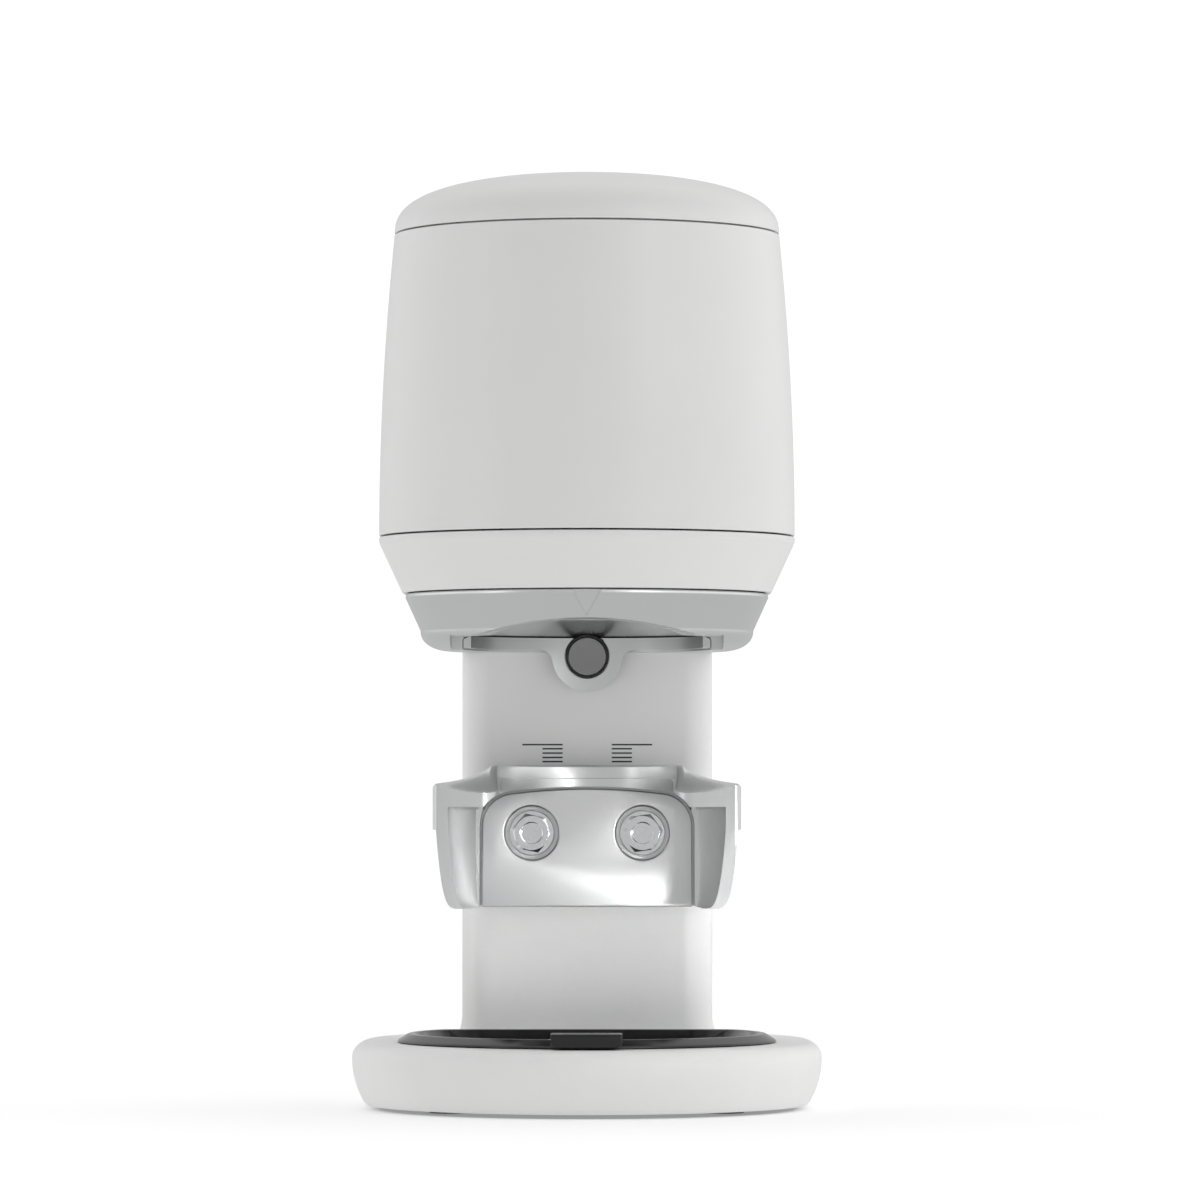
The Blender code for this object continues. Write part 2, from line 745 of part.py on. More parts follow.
def cap_curve(radius, height, steps):
    """From the cap's edge over its round shoulder to its top, as (radius, rise) pairs."""
    turns = np.radians(np.linspace(90, 6, steps))
    return [(radius * math.sin(t) ** (2 / 2.35), height * math.cos(t) ** (2 / 2.55)) for t in turns]


def make_shells():
    low = COVER_LOW + GAP
    high = CAP_SEAM - GAP
    heights = np.linspace(low, high, 6)
    rings = [head_ring(cover_radius(z), z) for z in heights]
    rings += [head_ring(cover_radius(z) - COVER_WALL, z) for z in heights[[5, 2, 0]]]
    place(loft("head_cover", rings, loop=True), "white_paint")

    foot = CAP_SEAM + GAP
    lip = CAP_RADIUS - COVER_WALL - 2 * GAP
    inner = cap_curve(lip - COVER_WALL, HEIGHT - foot - COVER_WALL, 5)
    outer = cap_curve(CAP_RADIUS, HEIGHT - foot, 9)
    rings = [head_ring(radius, foot + rise) for radius, rise in reversed(inner)]
    rings.append(head_ring(lip - COVER_WALL, foot - CAP_LIP))
    rings.append(head_ring(lip, foot - CAP_LIP))
    rings.append(head_ring(lip, foot))
    rings += [head_ring(radius, foot + rise) for radius, rise in outer[:-1]]
    rings.append(head_ring(outer[-1][0], HEIGHT))
    place(loft("head_cap", rings), "white_paint", "lid")

    band = COVER_LOW - GAP - RING_BAND
    rings = [
        head_ring(RING_LOW_RADIUS, RING_LOW),
        head_ring(HEAD_RADIUS, band),
        head_ring(HEAD_RADIUS, COVER_LOW - GAP),
        head_ring(HEAD_RADIUS - RING_WALL, COVER_LOW - GAP),
        head_ring(HEAD_RADIUS - RING_WALL, band),
        head_ring(RING_LOW_RADIUS - RING_WALL, RING_LOW),
    ]
    place(loft("skirt_ring", rings, loop=True), "white_paint")


def bay_profile():
    """The space above the portafilter: a bore, a cone that closes in, the tamper's well, the rod's hole."""
    return [
        (0, COLUMN_TOP + 5 * mm),
        (ROD_RADIUS + 2 * GAP, COLUMN_TOP + 5 * mm),
        (ROD_RADIUS + 2 * GAP, WELL_TOP),
        (WELL_RADIUS, WELL_TOP),
        (WELL_RADIUS, WELL_LOW),
        (BAY_RADIUS, BAY_CREASE),
        (BAY_RADIUS, BOWL_LOW - 5 * mm),
        (0, BOWL_LOW - 5 * mm),
    ]


def make_bowl():
    shoulder = [
        (BOWL_LOW_RADIUS, BOWL_LOW),
        (BOWL_LOW_RADIUS + 0.55 * (BOWL_KNEE_RADIUS - BOWL_LOW_RADIUS), BOWL_LOW + 1.6 * mm),
        (BOWL_KNEE_RADIUS - 1.6 * mm, BOWL_KNEE - 2.6 * mm),
        (BOWL_KNEE_RADIUS, BOWL_KNEE),
        (BOWL_TOP_RADIUS - 0.5 * mm, BOWL_TOP - 1.2 * mm),
        (BOWL_TOP_RADIUS - 0.9 * mm, BOWL_TOP),
        (BOWL_TOP_RADIUS - BOWL_WALL, BOWL_TOP),
        (BOWL_TOP_RADIUS - BOWL_WALL - 1 * mm, BOWL_FLOOR),
    ]
    rings = [head_ring(radius, z) for radius, z in shoulder]
    rings += [head_ring(TURRET_RADIUS, z, 1.0) for z in (BOWL_FLOOR, COLUMN_TOP)]
    bowl = loft("lower_housing", rings)
    bay = turned("tamper_bay", bay_profile(), (0, AXIS_Y, 0), closed=False, steps=HEAD_STEPS, into=cutters)
    front = AXIS_Y - HEAD_RADIUS
    mouth = block(
        "bay_mouth",
        (-MOUTH_WIDTH / 2, front, BOWL_LOW - 5 * mm),
        (MOUTH_WIDTH / 2, AXIS_Y, MOUTH_TOP),
        into=cutters,
    )
    rise = ARCH_TOP - MOUTH_TOP
    sweep = ((ARCH_WIDTH / 2) ** 2 + rise**2) / (2 * rise)
    half_angle = math.degrees(math.asin(ARCH_WIDTH / 2 / sweep))
    outline = arc((0, ARCH_TOP - sweep), sweep, 90 - half_angle, 90 + half_angle, 13)
    outline += [(-ARCH_WIDTH / 2, MOUTH_TOP - 2 * mm), (ARCH_WIDTH / 2, MOUTH_TOP - 2 * mm)]
    arch = flat("bay_arch", [outline], HEAD_RADIUS - 27 * mm, (0, front, 0), True, cutters)
    notch = block(
        "column_notch",
        (-COLUMN_WIDTH / 2 - GAP, AXIS_Y + COLUMN_FRONT - GAP, BOWL_LOW - 5 * mm),
        (COLUMN_WIDTH / 2 + GAP, AXIS_Y + BASE_BACK, COLUMN_TOP + 5 * mm),
        into=cutters,
    )
    cut(bowl, bay, mouth, arch, notch)
    return place(bowl, "silver_cast")


def tongue_outline(radius, fillet, crest, half_width):
    """A straight band that dips into a round tongue below the button, with a fillet on either side."""
    low = BRACKET_LOW
    drop = low - fillet - BUTTON_Z
    reach = math.sqrt((radius + fillet) ** 2 - drop**2)
    turn = math.degrees(math.atan2(drop, reach))
    right = arc((reach, low - fillet), fillet, 90, 180 + turn, 5)
    bottom = arc((0, BUTTON_Z), radius, turn, -180 - turn, 19)
    left = [(-x, z) for x, z in reversed(right)]
    return [(half_width, crest), (half_width, low), *right, *bottom[1:-1], *left, (-half_width, low),
            (-half_width, crest)]


def make_button(bowl):
    outer = BAY_RADIUS - GAP
    crest = BAY_CREASE - GAP
    inner = outer - BRACKET_THICK
    foot = BUTTON_Z - TONGUE_RADIUS - 3 * mm
    slope = (WELL_LOW - BAY_CREASE) / (BAY_RADIUS - WELL_RADIUS)
    bracket = turned(
        "bay_bracket",
        [(outer, crest), (outer, foot), (inner, foot), (inner, crest + slope * BRACKET_THICK)],
        (0, AXIS_Y, 0),
        steps=HEAD_STEPS,
    )
    trim = flat(
        "tongue_trim",
        [tongue_outline(TONGUE_RADIUS, TONGUE_FILLET, crest + 3 * mm, BAY_RADIUS + 2 * mm)],
        COLUMN_FRONT,
        (0, AXIS_Y - 1 * mm, 0),
        True,
        cutters,
    )
    boolean(bracket, trim, "INTERSECT")
    middle = AXIS_Y + outer - BRACKET_THICK
    start = (0, middle - 10 * mm, BUTTON_Z)
    for pierced in (bracket, bowl):
        cut(pierced, rod("button_hole", BEZEL_RADIUS + GAP, start, 20 * mm, "Y", ROUND_STEPS, cutters))
    place(bracket, "silver_cast")
    sag = (outer - BRACKET_THICK) - math.sqrt((outer - BRACKET_THICK) ** 2 - BEZEL_RADIUS**2)
    front = middle - sag - BUTTON_PROUD
    back = AXIS_Y + COLUMN_FRONT - GAP
    bezel = turned(
        "button_bezel",
        ring_profile(BEZEL_RADIUS, BEZEL_RADIUS - BEZEL_WALL, 0, back - front),
        (0, front, BUTTON_Z),
        axis="Y",
    )
    place(bezel, "black_plastic")
    radius = BEZEL_RADIUS - BEZEL_WALL - GAP
    travel = 2 * mm
    button = rod(
        "start_button",
        radius,
        (0, front + 0.3 * mm, BUTTON_Z),
        back - front - travel - GAP,
        "Y",
        ROUND_STEPS,
    )
    place(button, "button_grey", "start")


# Drive inside the head --------------------------------------------------------------------------


def gear_outline(teeth, turn):
    """Straight-flanked teeth, four points each: root, flank to tip, tip, flank back. Turn is in teeth."""
    pitch = teeth * GEAR_MODULE / 2
    tip = pitch + 0.85 * GEAR_MODULE
    root = pitch - 1.15 * GEAR_MODULE
    outline = []
    for tooth in range(teeth):
        for radius, along in ((root, -0.27), (tip, -0.10), (tip, 0.10), (root, 0.27)):
            angle = 2 * math.pi * (tooth + along + turn) / teeth
            outline.append((radius * math.cos(angle), radius * math.sin(angle)))
    return outline


def make_tamper():
    low = WELL_TOP - GAP - TAMPER_THICK
    disc = turned(
        "tamper_disc",
        [
            (TAMPER_RADIUS - 1 * mm, TAMPER_THICK),
            (TAMPER_RADIUS, TAMPER_THICK - 1 * mm),
            (TAMPER_RADIUS, 0.4 * mm),
            (TAMPER_RADIUS - 0.4 * mm, 0),
            (5.8 * mm, 0),
            (5.8 * mm, 2.8 * mm),
            (3.3 * mm, 2.8 * mm),
            (3.3 * mm, TAMPER_THICK),
        ],
        (0, AXIS_Y, low),
    )
    place(disc, "zinc_steel", "tamper")
    screw = turned(
        "tamper_screw",
        [
            (0, 13 * mm),
            (3 * mm, 13 * mm),
            (3 * mm, 2.5 * mm),
            (5.5 * mm, 2.5 * mm),
            (5.5 * mm, 0.3 * mm),
            (0, 0.3 * mm),
        ],
        (0, AXIS_Y, low),
        closed=False,
        steps=SMALL_STEPS,
    )
    place(screw, "zinc_steel", "tamper")
    foot = low + TAMPER_THICK + GAP
    top = CROSSHEAD_Z - GAP
    rod_shape = turned(
        "plunger_rod",
        [
            (0, foot + 14 * mm),
            (ROD_BORE, foot + 14 * mm),
            (ROD_BORE, top),
            (ROD_RADIUS, top),
            (ROD_RADIUS, foot),
            (3.3 * mm, foot),
            (3.3 * mm, foot + 11 * mm),
            (0, foot + 11 * mm),
        ],
        (0, AXIS_Y, 0),
        closed=False,
        steps=24,
    )
    place(rod_shape, "zinc_steel", "tamper")

    nut_radius = ROD_RADIUS - 2 * mm
    bar = round_box(-GUIDE_X - 8 * mm, GUIDE_X + 8 * mm, -9 * mm, 9 * mm, 5 * mm)
    holes = [circle(GUIDE_RADIUS + GAP, (side * GUIDE_X, 0)) for side in (-1, 1)]
    holes.append(circle(nut_radius + GAP, steps=24))
    outlines = [bar, *[hole[::-1] for hole in holes]]
    crosshead = flat("crosshead", outlines, CROSSHEAD_THICK, (0, AXIS_Y, CROSSHEAD_Z))
    place(crosshead, "dark_steel", "tamper")
    spring_low = CROSSHEAD_Z + CROSSHEAD_THICK + GAP
    spring_high = spring_low + 3.4 * mm
    springs = turned(
        "disc_springs",
        ring_profile(ROD_RADIUS + 1.5 * mm, nut_radius + GAP, spring_low, spring_high),
        (0, AXIS_Y, 0),
        steps=24,
    )
    place(springs, "dark_steel", "tamper")
    flange = spring_high + GAP
    nut = turned(
        "drive_nut",
        [
            (ROD_RADIUS + 2 * mm, flange + 4 * mm),
            (ROD_RADIUS + 2 * mm, flange),
            (nut_radius, flange),
            (nut_radius, CROSSHEAD_Z + GAP),
            (SCREW_SHAFT + GAP, CROSSHEAD_Z + GAP),
            (SCREW_SHAFT + GAP, flange + 4 * mm),
        ],
        (0, AXIS_Y, 0),
        steps=24,
    )
    place(nut, "bronze", "tamper")


def make_gears():
    gear_z = UPPER_PLATE_Z + UPPER_PLATE_THICK + 1 * mm
    head = gear_z + GEAR_FACE + GAP
    journal = SCREW_SHAFT + 3 * mm
    screw = turned(
        "leadscrew",
        [
            (0, head + 1.6 * mm),
            (journal, head + 1.6 * mm),
            (journal, head),
            (SCREW_SHAFT, head),
            (SCREW_SHAFT, UPPER_PLATE_Z - GAP),
            (journal, UPPER_PLATE_Z - GAP),
            (journal, UPPER_PLATE_Z - 3.5 * mm),
            (SCREW_SHAFT, UPPER_PLATE_Z - 3.5 * mm),
            (SCREW_SHAFT, CROSSHEAD_Z - 28 * mm),
            (0, CROSSHEAD_Z - 28 * mm),
        ],
        (0, AXIS_Y, 0),
        closed=False,
        steps=SMALL_STEPS,
    )
    place(screw, "zinc_steel", "screw")
    outline = gear_outline(GEAR_TEETH, 0.25 * GEAR_TEETH)
    bore = circle(SCREW_SHAFT + GAP)[::-1]
    place(flat("screw_gear", [outline, bore], GEAR_FACE, (0, AXIS_Y, gear_z)), "bronze", "screw")

    behind = AXIS_Y + GEAR_BEHIND
    outline = gear_outline(PINION_TEETH, -0.25 * PINION_TEETH + 0.5)
    bore = circle(MOTOR_SHAFT + GAP, steps=12)[::-1]
    place(flat("drive_pinion", [outline, bore], GEAR_FACE, (0, behind, gear_z)), "dark_steel", "pinion")
    shaft = turned(
        "motor_shaft",
        [
            (0, head + 1.4 * mm),
            (MOTOR_SHAFT + 1.5 * mm, head + 1.4 * mm),
            (MOTOR_SHAFT + 1.5 * mm, head),
            (MOTOR_SHAFT, head),
            (MOTOR_SHAFT, UPPER_PLATE_Z + GAP),
            (0, UPPER_PLATE_Z + GAP),
        ],
        (0, behind, 0),
        closed=False,
        steps=12,
    )
    place(shaft, "zinc_steel", "pinion")


def make_chassis():
    low = COLUMN_TOP + GAP
    high = low + CHASSIS_THICK
    bush_radius = ROD_RADIUS + 1.7 * mm
    outline = head_outline(RING_LOW_RADIUS - RING_WALL - 3.5 * mm)[::2]
    bore = circle(bush_radius + GAP, steps=24)[::-1]
    plate = flat("chassis_plate", [outline, bore], CHASSIS_THICK, (0, AXIS_Y, low))
    place(plate, "dark_steel")
    bush = turned(
        "plunger_bush",
        [
            (bush_radius + 3 * mm, high + 2.5 * mm),
            (bush_radius + 3 * mm, high + GAP),
            (bush_radius, high + GAP),
            (bush_radius, low),
            (ROD_RADIUS + GAP, low),
            (ROD_RADIUS + GAP, high + 2.5 * mm),
        ],
        (0, AXIS_Y, 0),
        steps=24,
    )
    place(bush, "bronze")
    for side, word in ((-1, "left"), (1, "right")):
        start = (side * GUIDE_X, AXIS_Y, high + GAP)
        guide = rod(f"guide_rod_{word}", GUIDE_RADIUS, start, UPPER_PLATE_Z - high - 2 * GAP)
        place(guide, "zinc_steel")

    bearing_radius = 11.0 * mm
    holes = [
        circle(bearing_radius + GAP, steps=24)[::-1],
        circle(MOTOR_SHAFT + 2 * GAP, (0, GEAR_BEHIND), 12)[::-1],
    ]
    outline = head_outline(46 * mm)[::2]
    upper = flat("upper_bearing_plate", [outline, *holes], UPPER_PLATE_THICK, (0, AXIS_Y, UPPER_PLATE_Z))
    place(upper, "dark_steel")
    bearing = turned(
        "screw_bearing",
        ring_profile(
            bearing_radius,
            SCREW_SHAFT + GAP,
            UPPER_PLATE_Z + GAP,
            UPPER_PLATE_Z + UPPER_PLATE_THICK - GAP,
        ),
        (0, AXIS_Y, 0),
        steps=24,
    )
    place(bearing, "zinc_steel")
    top = UPPER_PLATE_Z - GAP
    motor = turned(
        "drive_motor",
        [
            (0, top),
            (MOTOR_RADIUS - 1 * mm, top),
            (MOTOR_RADIUS, top - 1 * mm),
            (MOTOR_RADIUS, top - MOTOR_LENGTH + 6 * mm),
            (MOTOR_RADIUS - 2 * mm, top - MOTOR_LENGTH + 5 * mm),
            (MOTOR_RADIUS - 2 * mm, top - MOTOR_LENGTH),
            (0, top - MOTOR_LENGTH),
        ],
        (0, AXIS_Y + GEAR_BEHIND, 0),
        closed=False,
        steps=24,
    )
    place(motor, "dark_steel")


def make_controls():
    keys = [circle(KEY_RADIUS + GAP, (side * KEY_X, KEY_BEHIND))[::-1] for side in (-1, 1)]
    outline = head_outline(DECK_RADIUS)[::2]
    place(flat("control_deck", [outline, *keys], DECK_THICK, (0, AXIS_Y, DECK_Z)), "black_plastic")
    post_low = UPPER_PLATE_Z + UPPER_PLATE_THICK + GAP
    for side, word in ((-1, "left"), (1, "right")):
        foot = (side * 38 * mm, AXIS_Y + 8 * mm, post_low)
        post = rod(f"deck_post_{word}", 3 * mm, foot, DECK_Z - GAP - post_low, steps=12)
        place(post, "zinc_steel")
        start = (side * KEY_X, AXIS_Y + KEY_BEHIND, DECK_Z + 0.8 * mm)
        place(rod(f"setting_key_{word}", KEY_RADIUS, start, 4.5 * mm), "button_grey", f"key_{word}")
    window = round_box(-20 * mm, 20 * mm, -46 * mm, -24 * mm, 3 * mm)
    place(flat("display_window", [window], 1.6 * mm, (0, AXIS_Y, DECK_Z + DECK_THICK + GAP)), "display")
    board = block(
        "controller_board",
        (-34 * mm, AXIS_Y - 52 * mm, DECK_Z - 2.6 * mm),
        (34 * mm, AXIS_Y - 14 * mm, DECK_Z - 1 * mm),
    )
    place(board, "board")


# Portafilter fork -------------------------------------------------------------------------------

CLAMP_BACK = COLUMN_FRONT - GAP - WEB_THICK - GAP
CLAMP_FRONT = CLAMP_BACK - CLAMP_THICK


def arm_radius(z):
    """Outside of the arm at a height: almost upright, turning in hard near the bottom."""
    rise = max(0.0, min(1.0, (z - FORK_LOW) / (FORK_STEP - FORK_LOW)))
    base = FORK_LOW_RADIUS - 3 * mm
    return base + (FORK_RADIUS - FORK_STEP_INSET - base) * rise**0.25


def ease(value):
    value = max(0.0, min(1.0, value))
    return value * value * (3 - 2 * value)


def crest(radius, behind):
    """Top of the fork: a level rim round the opening, hollow wings outside it, both low at the nose."""
    back = ease((behind + FORK_FRONT) / RIM_RISE)
    out = max(0.0, (radius - FORK_GAP - RIM_WIDTH) / (FORK_RADIUS - FORK_GAP - RIM_WIDTH))
    inner = FORK_NOSE_TOP + (FORK_TOP - FORK_NOSE_TOP) * back
    fall = back * (1 - (1 - out) ** 2) + (1 - back) * out**2.2
    return inner + (FORK_OUTER_TOP - inner) * fall


def skirt_low(behind):
    """Foot of the collar's skirt: it rises to the lip behind the arms' outer faces."""
    return FORK_STEP + (FORK_LIP - 1 * mm - FORK_STEP) * ease((behind - SKIRT_END) / SKIRT_RISE)


def shelf_section(radius_out):
    """(radius, height) round the wing: a height of None takes the crest's, and FORK_STEP the skirt's."""
    skirt = FORK_WALL
    return [
        (FORK_GAP, None),
        (FORK_GAP + RIM_WIDTH, None),
        (FORK_GAP + 8 * mm, None),
        (FORK_GAP + 15 * mm, None),
        (radius_out - 1.6 * mm, None),
        (radius_out, FORK_OUTER_TOP - 1.8 * mm),
        (radius_out, FORK_STEP),
        (radius_out - skirt, FORK_STEP),
        (radius_out - skirt, FORK_LIP),
        (FORK_GAP, FORK_LIP),
    ]


def make_shelf():
    stations = [("ahead", -FORK_FRONT), ("ahead", -FORK_FRONT / 2)]
    stations += [("turn", angle) for angle in np.linspace(0, math.pi, 21)]
    stations += [("left", -FORK_FRONT / 2), ("left", -FORK_FRONT)]
    rings = []
    for kind, value in stations:
        ring = []
        for radius, z in shelf_section(FORK_RADIUS):
            if kind == "turn":
                x, behind = radius * math.cos(value), radius * math.sin(value)
            else:
                x, behind = (radius if kind == "ahead" else -radius), value
            height = crest(radius, behind) if z is None else z
            ring.append((x, AXIS_Y + behind, skirt_low(behind) if z == FORK_STEP else height))
        rings.append(ring)
    return loft("fork_casting", rings)


def make_arm(side):
    """One arm: from its front end it follows a flattened quarter turn to the edge of the clamp plate."""
    heights = [FORK_LOW + rise * (FORK_LIP + 1 * mm - FORK_LOW) for rise in (0, 0.03, 0.09, 0.2, 0.45, 1)]
    edge = CLAMP_WIDTH / 2 + GAP + 1 * mm
    rings = []
    stations = [(-FORK_FRONT, 0.0)] + [(None, turn) for turn in np.linspace(0, math.pi / 2, 8)]
    for straight, turn in stations:
        ring = []
        for z, outward in [(z, True) for z in heights] + [(z, False) for z in reversed(heights)]:
            bend = abs(math.cos(turn)) ** 1.6
            x = edge + (arm_radius(z) - FORK_WALL - edge) * bend
            behind = CLAMP_FRONT * math.sin(turn) if straight is None else straight
            if outward:
                x += FORK_WALL * math.cos(turn)
                behind += FORK_WALL * math.sin(turn)
            ring.append((side * x, AXIS_Y + behind, z))
        rings.append(ring)
    return loft("fork_arm", rings, into=cutters)


def clamp_outline(grow=0.0):
    """The clamp plate seen from the front: round upper corners under a shallow arch."""
    half = CLAMP_WIDTH / 2 + grow
    soft = CLAMP_ROUND + grow
    flat_half = half - soft
    shoulder = CLAMP_TOP + grow - CLAMP_ARCH
    sweep = (flat_half**2 + CLAMP_ARCH**2) / (2 * CLAMP_ARCH)
    lean = math.degrees(math.asin(flat_half / sweep))
    low = FORK_LOW - grow
    right = arc((flat_half, shoulder - soft), soft, 0, 90 - lean, 7)
    crown = arc((0, CLAMP_TOP + grow - sweep), sweep, 90 - lean, 90 + lean, 9)
    left = [(-x, z) for x, z in reversed(right)]
    return [(half, low), *right[:-1], *crown, *left[1:], (-half, low)]


def nose_outline(side):
    """What the round inner corner of a wing's nose takes off, in plan."""
    edge = FORK_GAP + NOSE_ROUND
    middle = NOSE_ROUND - FORK_FRONT
    curve = arc((edge, middle), NOSE_ROUND, 180, 270, 7)
    far = -FORK_FRONT - 5 * mm
    inside = FORK_GAP - 3 * mm
    outline = [*curve, (edge, far), (inside, far), (inside, middle)]
    return [(side * x, y) for x, y in outline]


def make_fork():
    fork = make_shelf()
    spare = 0.5 * mm  # left on faces that the seat and the column then trim
    inner = CLAMP_WIDTH / 2 + GAP - spare
    outer = CLAMP_WIDTH / 2 + GAP + FORK_WALL
    front = CLAMP_FRONT - 1 * mm
    step = CLAMP_BACK + GAP - spare
    back = COLUMN_FRONT - GAP
    right = [(inner, step), (inner, front), (outer, front), (outer, back + spare)]
    web = [(-x, y) for x, y in reversed(right)] + right
    tall = FORK_LIP + 2 * mm - FORK_LOW
    frame = flat("fork_web", [web], tall, (0, AXIS_Y, FORK_LOW + 0.2 * mm), into=cutters)
    for helper in (frame, make_arm(-1), make_arm(1)):
        boolean(fork, helper, "UNION")
    ahead = FORK_FRONT + 5 * mm
    depth = CLAMP_BACK + GAP + ahead
    seat = flat("clamp_seat", [clamp_outline(SEAT_GAP)], depth, (0, AXIS_Y - ahead, 0), True, cutters)
    behind = block(
        "fork_back",
        (-FORK_RADIUS - 10 * mm, AXIS_Y + back, FORK_LOW - 10 * mm),
        (FORK_RADIUS + 10 * mm, AXIS_Y + back + 40 * mm, FORK_TOP + 10 * mm),
        into=cutters,
    )
    cut(fork, seat, behind)
    for side in (-1, 1):
        nose = flat("nose_round", [nose_outline(side)], 40 * mm, (0, AXIS_Y, FORK_LIP - 10 * mm), into=cutters)
        cut(fork, nose)
    for side in (-1, 1):
        start = (side * BOLT_X, AXIS_Y + CLAMP_BACK - 5 * mm, BOLT_Z)
        cut(fork, rod("web_hole", BOLT_RADIUS + GAP, start, 20 * mm, "Y", SMALL_STEPS, cutters))
    place(fork, "silver_cast", "holder")

    holes = [circle(BOLT_RADIUS + GAP, (side * BOLT_X, BOLT_Z))[::-1] for side in (-1, 1)]
    clamp = flat("clamp_plate", [clamp_outline(), *holes], CLAMP_THICK, (0, AXIS_Y + CLAMP_FRONT, 0), True)
    seat_depth = BOLT_HEAD + WASHER_THICK + 2 * GAP
    for side, word in ((-1, "left"), (1, "right")):
        x = side * BOLT_X
        start = (x, AXIS_Y + CLAMP_FRONT - 5 * mm, BOLT_Z)
        deep = 5 * mm + seat_depth
        cut(clamp, rod("counterbore", COUNTERBORE_RADIUS, start, deep, "Y", ROUND_STEPS, cutters))
        washer_back = CLAMP_FRONT + seat_depth - GAP
        washer = turned(
            f"washer_{word}",
            ring_profile(WASHER_RADIUS, BOLT_RADIUS + GAP, 0, WASHER_THICK),
            (x, AXIS_Y + washer_back - WASHER_THICK, BOLT_Z),
            axis="Y",
            steps=24,
        )
        place(washer, "zinc_steel", "holder")
        head_back = washer_back - WASHER_THICK - GAP
        corner = BOLT_FLATS / 2 / math.cos(math.radians(30))
        face = (x, AXIS_Y + head_back - BOLT_HEAD, BOLT_Z)
        bolt = rod(f"clamp_bolt_{word}", corner, face, BOLT_HEAD, "Y", 6)
        nut_front = COLUMN_FRONT + COLUMN_WALL + GAP
        shank_end = nut_front + NUT_THICK + 2.5 * mm
        shank = rod(
            "bolt_shank",
            BOLT_RADIUS,
            (x, AXIS_Y + head_back - 1 * mm, BOLT_Z),
            shank_end - head_back + 1 * mm,
            "Y",
            SMALL_STEPS,
            cutters,
        )
        boolean(bolt, shank, "UNION")
        place(bolt, "zinc_steel", "holder")
        nut_outline = round_box(
            x - NUT_SIDE / 2, x + NUT_SIDE / 2, BOLT_Z - NUT_SIDE / 2, BOLT_Z + NUT_SIDE / 2, 1 * mm, 2
        )
        bore = circle(BOLT_RADIUS + GAP, (x, BOLT_Z))[::-1]
        nut = flat(f"clamp_nut_{word}", [nut_outline, bore], NUT_THICK, (0, AXIS_Y + nut_front, 0), True)
        place(nut, "dark_steel", "holder")
    place(clamp, "brushed_plate", "holder")


make_base()
make_tray()
make_column()
make_rear_socket()
make_shells()
make_button(make_bowl())
make_tamper()
make_gears()
make_chassis()
make_controls()
make_fork()
bpy.context.view_layer.update()
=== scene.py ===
"""Automatic coffee tamper: fine shells, castings, fasteners and finishes around the fixed working frame.

Metres, +Z up, the front of the machine at -Y. Every surface here is worked out on a grid of two
parameters, or is a profile carried round an axis or along a path, and takes its place from the frame.
"""

from __future__ import annotations

import sys
import logging
import math
from dataclasses import dataclass, field
from enum import Enum

import bmesh
import bpy
import numpy as np
from mathutils import Euler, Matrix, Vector


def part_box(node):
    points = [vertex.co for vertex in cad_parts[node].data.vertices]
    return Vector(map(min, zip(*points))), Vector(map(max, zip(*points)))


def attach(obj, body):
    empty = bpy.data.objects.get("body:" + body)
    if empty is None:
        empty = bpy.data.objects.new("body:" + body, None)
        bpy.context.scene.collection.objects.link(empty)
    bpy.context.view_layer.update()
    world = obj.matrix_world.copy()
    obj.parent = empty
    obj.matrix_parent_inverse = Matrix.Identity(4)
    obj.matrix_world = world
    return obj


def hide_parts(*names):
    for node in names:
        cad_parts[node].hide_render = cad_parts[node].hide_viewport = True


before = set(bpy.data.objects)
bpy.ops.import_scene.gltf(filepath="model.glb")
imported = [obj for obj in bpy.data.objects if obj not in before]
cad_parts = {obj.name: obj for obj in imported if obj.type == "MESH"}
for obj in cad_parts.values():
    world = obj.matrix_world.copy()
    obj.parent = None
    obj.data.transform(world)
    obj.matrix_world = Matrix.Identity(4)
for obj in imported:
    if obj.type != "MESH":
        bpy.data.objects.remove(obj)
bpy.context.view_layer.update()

LOG = logging.getLogger("coffee_tamper")
mm = 0.001
GAP = 0.3 * mm  # between pieces that rest on each other
COAT_ROUGHNESS = 0.08
TIP = 0.01 * mm  # stands for a radius of nothing at an axis
KNIFE = 0.001 * mm  # rim of a cutter that has no round edge
PAST = 5 * mm  # how far a cutter runs past what it cuts


# Measures read from the frame -------------------------------------------------------------------


def corners(node: str) -> tuple[Vector, Vector]:
    """The lowest and highest corner of a working node at rest."""
    low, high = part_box(node)
    return Vector(low), Vector(high)


def middle(node: str) -> Vector:
    """The middle of a node's box."""
    low, high = corners(node)
    return (low + high) / 2


AXIS_Y = middle("leadscrew").y


# Finishes ---------------------------------------------------------------------------------------


class Graph:
    """A small hand on a node tree: adds nodes, sets their sockets and links them."""

    def __init__(self, tree: bpy.types.NodeTree) -> None:
        self.tree = tree

    def add(self, kind: str, sockets: dict | None = None, **settings: object) -> bpy.types.Node:
        """Adds a node.

        Args:
            kind: the node's type name.
            sockets: input name or number to a value, or to an output socket to link.
            settings: the node's own properties.

        Returns:
            The new node.
        """
        node = self.tree.nodes.new(kind)
        for name, value in settings.items():
            setattr(node, name, value)
        for name, value in (sockets or {}).items():
            if isinstance(value, bpy.types.NodeSocket):
                self.tree.links.new(value, node.inputs[name])
            else:
                node.inputs[name].default_value = value
        return node

    def link(self, source: bpy.types.NodeSocket, target: bpy.types.NodeSocket) -> None:
        """Joins an output to an input."""
        self.tree.links.new(source, target)


